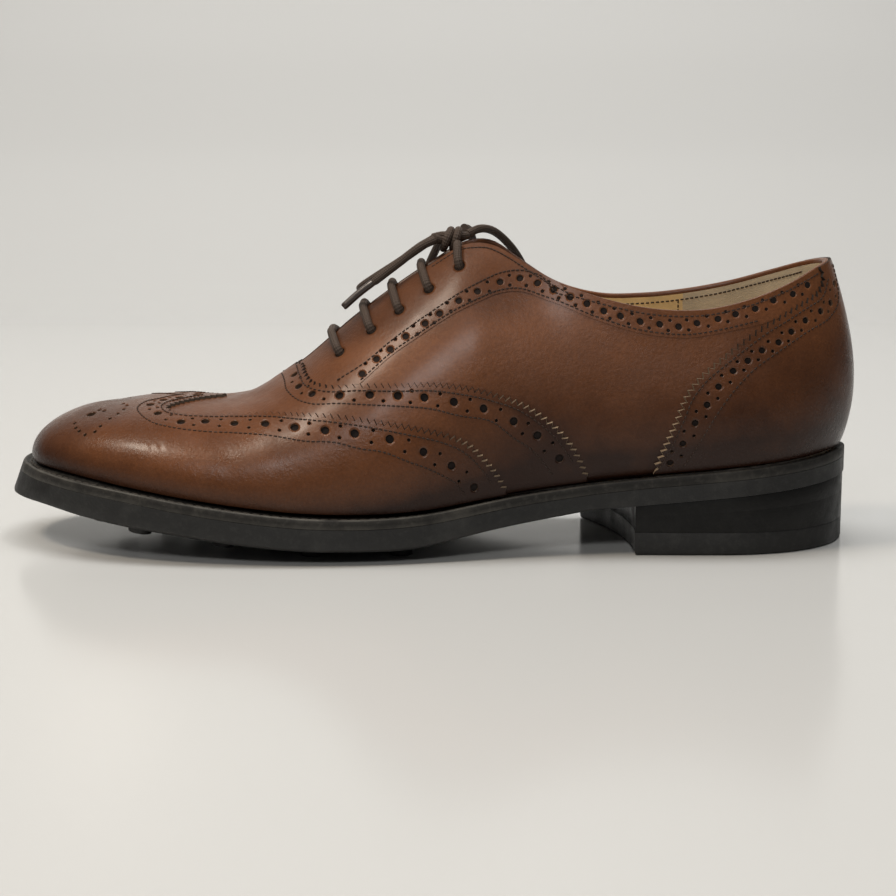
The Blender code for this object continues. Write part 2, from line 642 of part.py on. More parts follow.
add_overlay("vamp", np.vstack([at_welt(VAMP_FRONT, vamp[-1, 0]), vamp[::-1], at_top(vamp[0, 0], VAMP_FRONT),
                               up_rib(VAMP_FRONT)[::-1]]),
            LIFT, OVERLAY, CALF, 0.36)
add_overlay("wing_cap", np.vstack([at_welt(0, wing[-1, 0]), wing[::-1], at_top(wing[0, 0], 0), toe[::-1]]),
            wing_lift, OVERLAY, BURNISHED, 0.32)
add_overlay("heel_counter", np.vstack([at_welt(BACK, counter[-1, 0]), counter[::-1],
                                       at_top(counter[0, 0], BACK), back[::-1]]),
            LIFT, OVERLAY, BURNISHED, 0.34)
facing = np.vstack([strip, strip_back[::-1], at_top(strip_back[0, 0], strip_front[0, 0]), strip_front])
for label, sign in (("outer", -1), ("inner", 1)):
    add_overlay("facing_strip_" + label, facing, STRIP_LIFT, STRIP, CALF, 0.36, signs=(sign,))


# Tongue under the facings

TONGUE_SIDE = 18.0      # tongue under each facing
TONGUE_THICK = 2.4
TONGUE_CLEAR = 0.9      # below the lining of the facings
TONGUE_ENDS = (115.0, 187.0)


def make_tongue():
    """Leather tongue: rows across the throat, following both facings and bridging the gap."""
    under = np.array([TONGUE_SIDE, 12, 6, 0.5])
    drop = -WALL - TONGUE_CLEAR
    rows = []
    for along in np.linspace(*TONGUE_ENDS, 9):
        height = 1 - under / rib_height(along)[0]
        outer = skin(np.full(4, -along), height, drop)
        inner = skin(np.full(4, along), height, drop)[::-1]
        middle = [outer[-1] + (inner[0] - outer[-1]) * t for t in (0.25, 0.5, 0.75)]
        rows.append(np.vstack([outer, middle, inner]))
    size = len(rows[0])
    faces = []
    for i in range(len(rows) - 1):
        for j in range(size - 1):
            a = i * size + j
            faces.append((a, a + size, a + size + 1, a + 1))
    add_shell("tongue", np.vstack(rows), faces, TONGUE_THICK, LINING, 0.5, side=-1)


make_tongue()


# Laces: bars across the throat, then the knot with its loops and ends

EYELETS = table("along from_edge", [(134, 16), (145, 15.5), (155.5, 14.5), (168, 12.5), (181, 9.8)])
BAR_RISE = (0, 0, 0.2)   # a bar's middle above the facing edges
KNOT = {"centre": (8.6, 0.0, 107.8), "radius": (5.0, 5.4, 4.6)}
LOOP_FRONT = [(2.2, 0.6, 108), (-2.6, 0.4, 104.8), (-9.6, 0, 100), (-16.8, -0.4, 95.4), (-22.4, 1.6, 91.6),
              (-24.2, 7.2, 89.8), (-18.6, 11.8, 92.8), (-9.6, 11, 99.4), (-2.2, 8.4, 105), (2.6, 5.8, 107.8)]
LOOP_REAR = [(14.2, 2.6, 109.4), (18.4, 8, 111), (23.6, 15.5, 110), (30, 23, 104.4), (36, 30.5, 94.8),
             (39.5, 36, 84), (37.5, 39.2, 75), (31.5, 40.4, 73.4), (26, 38.6, 81.5), (21.4, 33.6, 92),
             (17.6, 26.4, 102.4), (15.2, 17.2, 110), (13.2, 8.6, 111.4)]
END_FRONT = [(2.6, -5, 107.8), (-2, -7.2, 105.8), (-9.6, -8.2, 100.2), (-17.4, -8.6, 94.3), (-24.2, -9, 89.2),
             (-29.2, -9.6, 84.8)]
END_REAR = [(7.8, 7, 109.4), (5.4, 14, 107.4), (2, 22, 100.8), (-2, 29.6, 91), (-6, 35.4, 79.6), (-9, 39.4, 67)]


def add_cord(name, route, spacing=7.0):
    """A round lace through a route of points, as a tube with closed ends."""
    route = np.asarray(route, float)
    run = np.concatenate([[0], np.cumsum(np.linalg.norm(np.diff(route, axis=0), axis=1))])
    points = place(smooth(run, route, np.linspace(0, run[-1], int(run[-1] / spacing) + 2)))
    curve = bpy.data.curves.new(name, "CURVE")
    curve.dimensions = "3D"
    curve.bevel_depth = LACE / 2 * MM
    curve.bevel_resolution = 2
    curve.use_fill_caps = True
    spline = curve.splines.new("POLY")
    spline.points.add(len(points) - 1)
    for knot, point in zip(spline.points, points):
        knot.co = (*point, 1)
    cord = bpy.data.objects.new(name, curve)
    SHOE.objects.link(cord)
    curve.materials.append(material(name, CORD, 0.7))


def over_facing(sign, along, from_edge):
    """Points up a facing to its edge, at the height of a lace lying on it."""
    distances = np.linspace(from_edge, 0, 4)
    height = 1 - distances / rib_height(along)[0]
    return skin(np.full(4, sign * along), height, STRIP_LIFT + STRIP + GAP + LACE / 2)


def make_laces():
    """Four bars from eyelet to eyelet, and the top pair of eyelets tied into the knot."""
    for k, (along, from_edge) in enumerate(zip(*EYELETS.values())):
        outer, inner = (over_facing(sign, along, from_edge) for sign in (-1, 1))
        if k < 4:
            middle = (outer[-1] + inner[-1]) / 2 + BAR_RISE
            add_cord("lace_bar_%d" % (k + 1), np.vstack([outer, middle, inner[::-1]]), spacing=5.0)
        else:
            add_cord("lace_top_outer", outer, spacing=3.0)
            add_cord("lace_top_inner", inner, spacing=3.0)
    work = bmesh.new()
    bmesh.ops.create_uvsphere(work, u_segments=12, v_segments=8, radius=1)
    for vert in work.verts:
        vert.co = place(np.array(KNOT["centre"]) + np.array(vert.co) * np.array(KNOT["radius"]))
    mesh = bpy.data.meshes.new("lace_knot")
    work.to_mesh(mesh)
    work.free()
    add_piece("lace_knot", mesh, CORD, 0.7)
    add_cord("lace_loop_front", LOOP_FRONT)
    add_cord("lace_loop_rear", LOOP_REAR)
    add_cord("lace_end_front", END_FRONT)
    add_cord("lace_end_rear", END_REAR)


make_laces()
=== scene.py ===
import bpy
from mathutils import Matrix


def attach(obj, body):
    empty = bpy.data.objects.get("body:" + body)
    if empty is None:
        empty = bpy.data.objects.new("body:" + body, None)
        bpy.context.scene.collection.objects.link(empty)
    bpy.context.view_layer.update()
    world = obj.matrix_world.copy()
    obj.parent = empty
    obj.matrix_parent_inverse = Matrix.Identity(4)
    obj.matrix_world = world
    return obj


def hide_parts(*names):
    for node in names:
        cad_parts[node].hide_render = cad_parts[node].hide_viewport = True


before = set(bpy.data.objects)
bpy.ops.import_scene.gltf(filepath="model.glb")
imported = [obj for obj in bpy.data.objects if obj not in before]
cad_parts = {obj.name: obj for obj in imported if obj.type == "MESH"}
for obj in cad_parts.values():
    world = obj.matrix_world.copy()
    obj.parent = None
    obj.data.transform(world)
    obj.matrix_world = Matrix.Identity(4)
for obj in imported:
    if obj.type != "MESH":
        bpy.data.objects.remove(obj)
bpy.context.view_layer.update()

import math

import bpy
import numpy as np
from mathutils.geometry import delaunay_2d_cdt


# The last and the edge of the sole
# The shoe is made on a wooden last. Ribs run up it from the welt to the ridge, the facings and the
# collar, and every leather panel is laid on its surface. Tables are in millimetres.

MM = 0.001
MIDDLE = np.array([1.47, 2.92, 0.0])
OUTER_EDGE = [
    (-151.3, 6), (-149.5, -5.5), (-143.3, -16.8), (-131, -28.2), (-113, -38.8), (-90, -46.4), (-65, -50.2),
    (-40, -51), (-18, -49.3), (5, -44.8), (28, -38.8), (50, -35), (72, -33.6), (95, -34), (115, -32.8),
    (131, -27), (143, -17), (149.4, -6), (151.3, 2)]
INNER_EDGE = [
    (-149.7, 18.4), (-144, 29.6), (-132.4, 40), (-115.4, 49.2), (-95, 55), (-71, 57), (-50, 54.8), (-25, 48),
    (0, 40), (25, 34), (50, 32.2), (72, 33.2), (95, 34.6), (115, 33.6), (131, 28.6), (143, 19.5), (149.4, 10)]
TOE_BEVEL = {"inset": 4.2, "start_x": -118.0, "end_x": -146.0}
# Columns: x, top of the welt, bottom edge of the outsole, crown of the underside
PROFILE = np.array([
    (-152, 28.6, 17.2, 0.2), (-138, 27.9, 16.8, 0.8), (-122, 26.4, 14.6, 1.6), (-104, 24.3, 12.2, 2.6),
    (-85, 21.5, 10, 3.4), (-62, 18.5, 7.1, 3.6), (-42, 16.6, 5.3, 3.2), (-24, 16, 4.9, 3),
    (-6, 16.5, 5.2, 2.6), (-1, 16.9, 5.7, 2.1), (4, 17.5, 6.6, 1.7), (14, 19.1, 8.6, 1.3),
    (31, 21.8, 11.7, 0.8), (47, 23.9, 14.3, 0.4), (58, 25.3, 16.08, 0), (69, 26.5, 17.1, 0),
    (110, 30.3, 20.9, 0), (152, 34.2, 24.79, 0)])
# Columns: feather x y, top x y z, heading, run and lean at the welt, run and dip at the top
TOE_RIB = (-142.6, 6, -119, 5, 47.2, 0, 11.5, 10, 9.5, 11)
OUTER_RIBS = np.array([
    (-141.2, -4, -118, 5, 47.5, -20, 11.8, 11, 10.5, 9),
    (-136.8, -12.8, -116, 5, 47.8, -42, 13, 12.5, 12.6, 5.5),
    (-127, -22.4, -111.4, 5, 48.1, -65, 15, 14, 16.5, 2.5),
    (-110.6, -32, -103, 5, 48.4, -80, 17.4, 15.5, 20.5, 0.5),
    (-89.4, -39.2, -88, 4.5, 49.2, -88, 20, 16, 23, 0), (-65, -43.3, -63, 4, 52, -90, 22, 15, 23, 0),
    (-51, -44.3, -48.8, 1.5, 61.4, -90, 24, 14, 23, 8), (-39.5, -44.3, -40, -3.5, 68.2, -90, 25, 13, 25, 18),
    (-28, -43.9, -28, -5.5, 78.6, -90, 27, 12, 27, 24), (-12, -42.2, -12, -7, 90.6, -90, 29, 12, 30, 29),
    (4, -39.2, 2, -8.5, 99.8, -90, 30, 12, 32, 34), (18, -36.1, 14, -10, 106.6, -90, 30, 13, 33, 40),
    (30, -33.6, 24, -13.5, 106.2, -90, 29, 15, 32, 50), (41, -32.1, 34, -18.5, 100.6, -90, 27, 18, 30, 60),
    (52, -31.1, 46, -23, 94.1, -91, 25, 21, 27, 70), (66, -30.3, 62, -26, 88.6, -92, 23, 24, 24, 78),
    (82, -30.2, 80, -27.4, 85.2, -94, 22, 25, 22, 82), (98, -30.4, 97, -27, 85.2, -98, 22, 25, 22, 82),
    (114, -29.2, 113, -25, 88.8, -108, 22, 25, 22, 80), (128, -24.4, 126, -20.6, 93.6, -125, 23, 24, 23, 77),
    (139, -15.8, 136, -14, 98.4, -148, 24, 23, 25, 74),
    (145.8, -6.5, 141.4, -6.6, 100.5, -168, 24, 22, 26, 72)])
INNER_RIBS = np.array([
    (-141.6, 14.6, -118, 5, 47.5, 20, 11.8, 11, 10.5, 9),
    (-137.6, 23.6, -116, 5, 47.8, 42, 13, 12.5, 12.6, 5.5),
    (-128, 32.4, -111.4, 5, 48.1, 65, 15, 14, 16.5, 2.5),
    (-111.4, 40.8, -103, 5, 48.4, 80, 17.4, 15.5, 20.5, 0.5), (-90, 46.8, -88, 4.5, 49.2, 90, 20, 16, 23, 0),
    (-67, 49.2, -63, 4, 52, 92, 22, 15, 23, 0), (-53.5, 48.1, -48.8, 1.5, 61.4, 91, 24, 14, 23, 8),
    (-42.5, 46, -40, 4.5, 68.2, 90, 25, 13, 25, 18), (-31, 43, -28, 5.5, 78.6, 90, 27, 12, 27, 24),
    (-15, 38.2, -12, 7, 90.6, 90, 29, 12, 30, 29), (2, 33.8, 2, 8.5, 99.8, 90, 30, 13, 32, 34),
    (17, 30.8, 14, 10, 106.6, 90, 30, 15, 33, 40), (30, 29.1, 24, 13.5, 106.4, 90, 29, 18, 32, 50),
    (41, 28.4, 34, 18, 99.6, 90, 27, 20, 30, 60), (52, 28.3, 46, 22.3, 91.8, 90, 25, 22, 27, 70),
    (66, 28.9, 62, 25.4, 86.8, 90, 23, 24, 24, 78), (82, 30, 80, 27, 86.4, 92, 22, 25, 22, 82),
    (98, 30.8, 97, 27, 88.2, 97, 22, 25, 22, 82), (114, 29.9, 113, 25.6, 91.4, 107, 22, 25, 22, 80),
    (128, 25.6, 126, 21.4, 95.4, 124, 23, 24, 23, 77), (139, 17.6, 136, 15, 98.8, 147, 24, 23, 25, 74),
    (145.8, 9, 141.4, 8, 100.5, 168, 24, 22, 26, 72)])
BACK_RIB = (148, 1.2, 142.8, 0.7, 101, 180, 24, 22, 26, 72)
THROAT_RIB = 7
TOE_EASE = 1.55
FEATHER_GAP = 0.3


def row(points):
    """Table points in metres, in the row frame."""
    return (np.asarray(points, float) - MIDDLE) * MM


def smooth(knots, values, at):
    """Smooth curve through the values at the knots, read at the given places."""
    knots = np.asarray(knots, float)
    values = np.asarray(values, float)
    at = np.atleast_1d(np.asarray(at, float))
    shape = (-1,) + (1,) * (values.ndim - 1)
    step = np.diff(knots).reshape(shape)
    slope = np.diff(values, axis=0) / step
    inner = (slope[:-1] * step[1:] + slope[1:] * step[:-1]) / (step[1:] + step[:-1])
    tangent = np.concatenate([slope[:1], inner, slope[-1:]])
    i = np.clip(np.searchsorted(knots, at) - 1, 0, len(knots) - 2)
    width = (knots[i + 1] - knots[i]).reshape(shape)
    t = ((at - knots[i]) / (knots[i + 1] - knots[i])).reshape(shape)
    return ((2 * t**3 - 3 * t**2 + 1) * values[i] + (t**3 - 2 * t**2 + t) * width * tangent[i]
            + (3 * t**2 - 2 * t**3) * values[i + 1] + (t**3 - t**2) * width * tangent[i + 1])


def run_of(points):
    """Distance run along a line of points."""
    return np.concatenate([[0], np.cumsum(np.linalg.norm(np.diff(points, axis=0), axis=1))])


def profile(column, x):
    """One column of the sole's side profile at x."""
    return smooth(PROFILE[:, 0], PROFILE[:, column], x)


def sole_loop(places):
    """Points on the sole's edge, at places from 0 to 1 from the heel back along the outer side."""
    points = np.array(OUTER_EDGE[::-1] + INNER_EDGE, float)
    wrapped = np.vstack([points[-2:], points, points[:3]])
    run = run_of(wrapped)
    start, end = run[2], run[2 + len(points)]
    return smooth(run, wrapped, start + np.asarray(places) * (end - start))


def inset(loop, distance):
    """A closed plan loop moved inward by a distance."""
    along = np.roll(loop, -1, axis=0) - np.roll(loop, 1, axis=0)
    along /= np.linalg.norm(along, axis=1)[:, None]
    return loop + np.reshape(distance, (-1, 1)) * np.stack([along[:, 1], -along[:, 0]], axis=1)


def bevelled(loop, part):
    """The sole's edge, which leans in at the toe; part is 0 at the outsole's bottom, 1 at the welt's top."""
    start, end = TOE_BEVEL["start_x"], TOE_BEVEL["end_x"]
    return inset(loop, TOE_BEVEL["inset"] * part * np.clip((loop[:, 0] - start) / (end - start), 0, 1)**2)


half_loops = [np.vstack([TOE_RIB, rows, BACK_RIB])[:, :2] for rows in (OUTER_RIBS, INNER_RIBS)]
STATIONS = np.mean([run_of(half) for half in half_loops], axis=0)
STATIONS[1:] += TOE_EASE
BACK = STATIONS[-1]
THROAT = STATIONS[THROAT_RIB]
turn = np.where(np.arange(10) == 5, 360, 0)
back_outer = np.array(BACK_RIB) - turn
LOOP_ROWS = np.vstack([INNER_RIBS[-1] - turn, back_outer, OUTER_RIBS[::-1], TOE_RIB, INNER_RIBS, BACK_RIB,
                       OUTER_RIBS[-1] + turn])
LOOP_KNOTS = np.concatenate([[-2 * BACK + STATIONS[-2]], -STATIONS[::-1], STATIONS[1:],
                             [2 * BACK - STATIONS[-2]]])


def rib_controls(along):
    """Four control points of each rib; along is minus on the outer side, plus on the inner side."""
    values = smooth(LOOP_KNOTS, LOOP_ROWS, along)
    twin = smooth(LOOP_KNOTS, LOOP_ROWS, -along)
    joined = (np.abs(along) <= THROAT)[:, None]
    top = np.where(joined, (values[:, 2:5] + twin[:, 2:5]) / 2, values[:, 2:5])
    feather = np.column_stack([values[:, :2], profile(1, values[:, 0]) + FEATHER_GAP])
    heading, lean, dip = (np.radians(values[:, k]) for k in (5, 7, 9))
    out = np.column_stack([-np.cos(heading), np.sin(heading), np.zeros(len(values))])
    up = np.array([0.0, 0.0, 1.0])
    swell = feather + values[:, 6:7] * (np.sin(lean)[:, None] * out + np.cos(lean)[:, None] * up)
    reach = top + values[:, 8:9] * (np.cos(dip)[:, None] * out - np.sin(dip)[:, None] * up)
    return np.stack([feather, swell, reach, top], axis=1)


def bezier(controls, t):
    """Point on each rib at its own t."""
    t = t[:, None]
    return ((1 - t)**3 * controls[:, 0] + 3 * t * (1 - t)**2 * controls[:, 1]
            + 3 * t**2 * (1 - t) * controls[:, 2] + t**3 * controls[:, 3])


def rib_lengths(controls, steps=24):
    """Length run along each rib at even steps."""
    points = np.stack([bezier(controls, np.full(len(controls), k / steps)) for k in range(steps + 1)], 1)
    run = np.cumsum(np.linalg.norm(np.diff(points, axis=1), axis=2), axis=1)
    return np.column_stack([np.zeros(len(controls)), run])


def last(along, height):
    """Point of the last's face: along the welt from the toe, height 0 to 1 up the rib."""
    controls = rib_controls(along)
    run = rib_lengths(controls)
    run = run / run[:, -1:]
    steps = run.shape[1] - 1
    i = np.clip((run < height[:, None]).sum(axis=1), 1, steps)
    rows = np.arange(len(along))
    part = (height - run[rows, i - 1]) / (run[rows, i] - run[rows, i - 1])
    return bezier(controls, (i - 1 + part) / steps)


rib_places = np.linspace(0, BACK, 330)
rib_means = sum(rib_lengths(rib_controls(sign * rib_places))[:, -1] for sign in (-1, 1)) / 2


def rib_height(along):
    """Height up the last, from welt to top, at a distance along the welt."""
    return np.interp(np.abs(along), rib_places, rib_means)


# Creases from wear, each from one pattern point to another: along, up, along, up, half width, depth
CREASES = [
    (67.5, 33, 71.5, 11, 0.9, 0.16), (70.3, 30, 75, 10, 0.8, 0.12), (65.4, 25, 67.6, 13, 0.8, 0.08),
    (93, 22, 99, 8, 2.6, 0.1),
    (104, 58, 112, 42, 3.0, 0.3), (97, 62, 103, 46, 2.8, 0.25), (112, 40, 122, 28, 3.4, 0.15),
    (226, 40, 232, 18, 6.0, 0.25), (240, 44, 236, 24, 6.0, 0.2)]


def relief(along, up):
    """Soft troughs of the creases, with a low ridge beside each."""
    along = np.abs(along)
    total = np.zeros(len(along))
    for a0, u0, a1, u1, width, depth in CREASES:
        run = np.array([a1 - a0, u1 - u0], float)
        length = np.hypot(*run)
        run /= length
        off = np.column_stack([along - a0, up - u0])
        t = off @ run
        side = off @ np.array([-run[1], run[0]])
        fade = np.clip(t / length * (1 - t / length) * 4, 0, 1)
        trough = np.exp(-(side / width)**2)
        ridge = np.exp(-((side - 2.1 * width) / (1.4 * width))**2)
        total += depth * fade * (0.5 * ridge - trough)
    return total


def laid(along, up, lift):
    """Points and outward directions of leather lying on the last, lifted off it."""
    along, up, lift = np.broadcast_arrays(np.atleast_1d(np.asarray(along, float)), up, lift)
    height = np.clip(up / rib_height(along), 0, 1)
    spread, climb = 0.6, 0.015
    middle = np.clip(height, 0.02, 0.97)

    def frame_at(places, at):
        side = last(places + spread, at) - last(places - spread, at)
        rise = last(places, at + climb) - last(places, at - climb)
        out = np.cross(rise, side)
        return out / np.linalg.norm(out, axis=1)[:, None], side, rise

    out, side, rise = frame_at(along, middle)
    swing = (relief(along + spread, middle * rib_height(along + spread))
             - relief(along - spread, middle * rib_height(along - spread)))
    climb_up = (relief(along, (middle + climb) * rib_height(along))
                - relief(along, (middle - climb) * rib_height(along)))
    facing = np.cross(rise + out * climb_up[:, None], side + out * swing[:, None])
    facing /= np.linalg.norm(facing, axis=1)[:, None]
    joined = (np.abs(along) > BACK - 0.001) | ((height > 0.999) & (np.abs(along) < THROAT + 0.001))
    joined |= np.abs(along) < 0.001
    if joined.any():
        twin = frame_at(-along[joined], middle[joined])[0]
        out[joined] = out[joined] + twin
        out[joined] /= np.linalg.norm(out[joined], axis=1)[:, None]
        facing[joined] = out[joined]
    points = last(along, height) + (lift + relief(along, height * rib_height(along)))[:, None] * out
    return points, facing


# Quarters and their lining
# The sides and back of the shoe, of polished calf lined with tan leather and a rough heel grip,
# drawn over the last, rolled over at the collar and tucked under at the feather.

CALF_LIGHT = (0.154, 0.056, 0.021)
CALF_DARK = (0.024, 0.0095, 0.0055)
LINING_TAN = (0.8, 0.57, 0.27)
GRIP_GREY = (0.6, 0.5, 0.35)
# Thickness, where the grip starts along the welt, how far the calf turns in at the collar, coat of wax
WALL = 2.0
GRIP_SEAM = 262.0
FOLD = 1.2
WAX = 0.14


def node_of(tree, kind, **values):
    """A shader node with its settings and socket values."""
    made = tree.nodes.new(kind)
    for key, value in values.items():
        if hasattr(made, key):
            setattr(made, key, value)
        else:
            made.inputs[key.replace("_", " ")].default_value = value
    return made


def finish_of(name, colour, roughness, coat=0.0, coat_roughness=0.2, specular=0.5):
    """A new material with its plain values on the shader; returns it with its tree and shader."""
    made = bpy.data.materials.new(name)
    made.use_nodes = True
    tree = made.node_tree
    shader = tree.nodes["Principled BSDF"]
    shader.inputs["Base Color"].default_value = (*colour, 1)
    shader.inputs["Roughness"].default_value = roughness
    shader.inputs["Coat Weight"].default_value = coat
    shader.inputs["Coat Roughness"].default_value = coat_roughness
    shader.inputs["Specular IOR Level"].default_value = specular
    return made, tree, shader


def noise_at(tree, scale, detail=4.0, roughness=0.55):
    """Noise on Object coordinates; scale is in waves per metre."""
    place = tree.nodes.new("ShaderNodeTexCoord")
    noise = node_of(tree, "ShaderNodeTexNoise", Scale=scale, Detail=detail, Roughness=roughness)
    tree.links.new(place.outputs["Object"], noise.inputs["Vector"])
    return noise.outputs["Fac"]


def add_bump(tree, shader, height, strength, distance):
    """Bump from a height socket onto the shader, after any bump already there."""
    bump = node_of(tree, "ShaderNodeBump", Strength=strength, Distance=distance)
    tree.links.new(height, bump.inputs["Height"])
    if shader.inputs["Normal"].is_linked:
        tree.links.new(shader.inputs["Normal"].links[0].from_socket, bump.inputs["Normal"])
    tree.links.new(bump.outputs["Normal"], shader.inputs["Normal"])


def mixed(tree, factor, first, second):
    """Colour mix; each colour is a socket or a plain colour."""
    mix = node_of(tree, "ShaderNodeMix", data_type="RGBA")
    for socket, value in zip((mix.inputs[0], mix.inputs[6], mix.inputs[7]), (factor, first, second)):
        if isinstance(value, bpy.types.NodeSocket):
            tree.links.new(value, socket)
        elif isinstance(value, tuple):
            socket.default_value = (*value, 1)
        else:
            socket.default_value = value
    return mix.outputs[2]


def ranged(tree, socket, low, high, to_low=0.0, to_high=1.0):
    """A socket's range mapped to another, clamped."""
    node = node_of(tree, "ShaderNodeMapRange", From_Min=low, From_Max=high, To_Min=to_low, To_Max=to_high)
    tree.links.new(socket, node.inputs["Value"])
    return node.outputs["Result"]


def calf_finish(name, light, dark, roughness):
    """Polished calf: darkened by its own attribute for polish and painted shade, mottled, finely grained and
    waxed.
    """
    made, tree, shader = finish_of(name, light, roughness, coat=WAX, coat_roughness=0.2, specular=0.2)
    # The attribute paints polish and shade: it darkens the colour and dulls the coat
    polish_wear_and_shade = node_of(tree, "ShaderNodeAttribute", attribute_name="polish_wear_and_shade")
    cloud = ranged(tree, noise_at(tree, 45, 5, 0.6), 0.3, 0.7, -0.16, 0.16)
    added = node_of(tree, "ShaderNodeMath", operation="ADD", use_clamp=True)
    tree.links.new(polish_wear_and_shade.outputs["Fac"], added.inputs[0])
    tree.links.new(cloud, added.inputs[1])
    colour = mixed(tree, added.outputs[0], light, dark)
    fleck = ranged(tree, noise_at(tree, 900, 3), 0.35, 0.65, 0.0, 0.22)
    colour = mixed(tree, fleck, colour, dark)
    tree.links.new(colour, shader.inputs["Base Color"])
    gloss = ranged(tree, noise_at(tree, 160, 4), 0.3, 0.7, roughness - 0.06, roughness + 0.1)
    tree.links.new(gloss, shader.inputs["Roughness"])
    tree.links.new(ranged(tree, polish_wear_and_shade.outputs["Fac"], 0.3, 1.0, WAX, 0.06), shader.inputs["Coat Weight"])
    add_bump(tree, shader, noise_at(tree, 2600, 4, 0.6), 0.2, 0.0004)
    add_bump(tree, shader, noise_at(tree, 850, 3, 0.5), 0.2, 0.0006)
    add_bump(tree, shader, noise_at(tree, 240, 3, 0.5), 0.09, 0.0012)
    return made


def rough_finish(name, colour, roughness, grain, strength):
    """A matt leather, cloth or rubber with a noise grain and a light mottle."""
    made, tree, shader = finish_of(name, colour, roughness, specular=0.35)
    darker = tuple(c * 0.55 for c in colour)
    blotch = ranged(tree, noise_at(tree, 70, 5, 0.6), 0.35, 0.7, 0.0, 0.54)
    tree.links.new(mixed(tree, blotch, colour, darker), shader.inputs["Base Color"])
    add_bump(tree, shader, noise_at(tree, grain, 4, 0.6), strength, 0.0006)
    return made


def make_piece(name, points, faces, finishes, finish_index=None, normals=None, polish_wear_and_shade=None):
    """A piece from points in millimetres, with its finishes and its attribute, riding on the shoe."""
    mesh = bpy.data.meshes.new(name)
    mesh.from_pydata(row(points).tolist(), [], [tuple(int(v) for v in face) for face in faces])
    for finish in finishes:
        mesh.materials.append(finish)
    mesh.shade_smooth()
    if finish_index is not None:
        mesh.polygons.foreach_set("material_index", np.asarray(finish_index, np.int32))
    if polish_wear_and_shade is not None:
        values = mesh.attributes.new("polish_wear_and_shade", "FLOAT", "POINT")
        values.data.foreach_set("value", np.asarray(polish_wear_and_shade, np.float32))
    if normals is not None:
        mesh.normals_split_custom_set(np.asarray(normals, float).tolist())
    mesh.update()
    piece = bpy.data.objects.new(name, mesh)
    bpy.context.scene.collection.objects.link(piece)
    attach(piece, "root")
    return piece


def step(value, low, high):
    """0 below low, 1 above high, smooth between."""
    t = np.clip((value - low) / (high - low), 0, 1)
    return t * t * (3 - 2 * t)


def polish_and_shade_at(along, up):
    """How dark the leather is painted: real polish near the welt and at the toe, painted shade near the welt,
    over the wing's upper part and on the facing's top, darker at the waist and toward the heel, with the heel
    counter's top left lighter as a painted highlight.
    """
    along = np.abs(along)
    # Real polish near the welt, with painted shade there as well
    low = 0.75 * np.exp(-(up / 7.0)**2) + 0.45 * np.exp(-(up / 17.0)**2)
    low *= 0.5 + 0.62 * step(along, 110, 190)
    toe = 0.5 * (1 - step(along, 12, 80))
    # Painted shade over the wing's upper part and on the facing's top, darkening where the light from above
    # falls
    wing = 0.36 * step(up, 9, 24) * step(along, 5, 45) * (1 - step(along, 100, 170))
    throat = 0.45 * step(up, 56, 70) * step(along, 115, 140) * (1 - step(along, 205, 225))
    waist = 0.62 * np.exp(-((along - 208) / 42)**2) * (1 - step(up, 20, 60))
    # Darker toward the heel, eased off at the counter's top, which is left lighter as a painted highlight
    heel = 0.55 * step(along, 222, 285) * (1 - 0.85 * step(up, 30, 58))
    return np.clip(low + (toe + wing) + waist + heel + throat, 0, 1)


def welded(points, faces):
    """Points that coincide made one; also gives where each old point went."""
    keys = np.round(points, 3) + 0.0
    _, first, back = np.unique(keys, axis=0, return_index=True, return_inverse=True)
    back = back.ravel()
    clean = [tuple(dict.fromkeys(back[v] for v in face)) for face in faces]
    return points[first], clean, first


def make_quarters():
    """One shell over the whole last: outer calf, rolled collar edge and lining, by rows along it."""
    columns = np.unique(np.concatenate([np.arange(0, BACK, 2.6), [THROAT, BACK]]))
    places = np.concatenate([-columns[:0:-1], columns])
    rows = 30
    heights = np.linspace(0, 1, rows + 1)
    up_part = np.concatenate([heights, [1, 1, 1], heights[::-1]])
    lift = np.concatenate([np.zeros(rows + 1), [-0.35, -1.0, -1.65], np.full(rows + 1, -WALL)])
    rise = np.concatenate([np.zeros(rows + 1), [0.2, 0.35, 0.2], np.zeros(rows + 1)])
    size = len(up_part)
    points, polish_wear_and_shade = [], []
    for place in places:
        at = np.full(size, place)
        top = rib_height(place)
        up = up_part * top
        up[rows + 5] = top - FOLD
        spot, _ = laid(at, up, lift)
        if abs(place) >= THROAT:
            spot[:, 2] += rise
        points.append(spot)
        # Polish and painted shade over the calf, and darker still near the collar's edge
        polish_wear_and_shade.append(polish_and_shade_at(at, up_part * top) + 0.3 * np.exp(-((1 - up_part) * top / 3)**2))
    faces, finish = [], []
    for i in range(len(places) - 1):
        middle = abs(places[i] + places[i + 1]) / 2
        for k in range(size):
            n = (k + 1) % size
            if middle < THROAT and rows <= k < rows + 4:
                continue
            faces.append((i * size + k, i * size + n, (i + 1) * size + n, (i + 1) * size + k))
            finish.append(0 if k < rows + 5 else (2 if middle > GRIP_SEAM else 1))
    cloud = np.vstack(points)
    joined, clean, first = welded(cloud, faces)
    kept = [k for k, face in enumerate(clean) if len(face) > 2]
    calf = calf_finish("quarter calf", CALF_LIGHT, CALF_DARK, 0.36)
    tan = rough_finish("tan lining", LINING_TAN, 0.6, 1500, 0.25)
    grip = rough_finish("heel grip", GRIP_GREY, 0.9, 2200, 0.6)
    piece = make_piece("quarters", joined, [clean[k] for k in kept], [calf, tan, grip],
                       [finish[k] for k in kept], polish_wear_and_shade=np.concatenate(polish_wear_and_shade)[first])
    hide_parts("upper")
    return calf


quarter_calf = make_quarters()


# Vamp, wing cap, heel counter and facing strips
# Overlays of polished calf, clicked out, punched with brogue holes and gimped along their edges in
# small teeth, then laid over the quarters and stitched down.

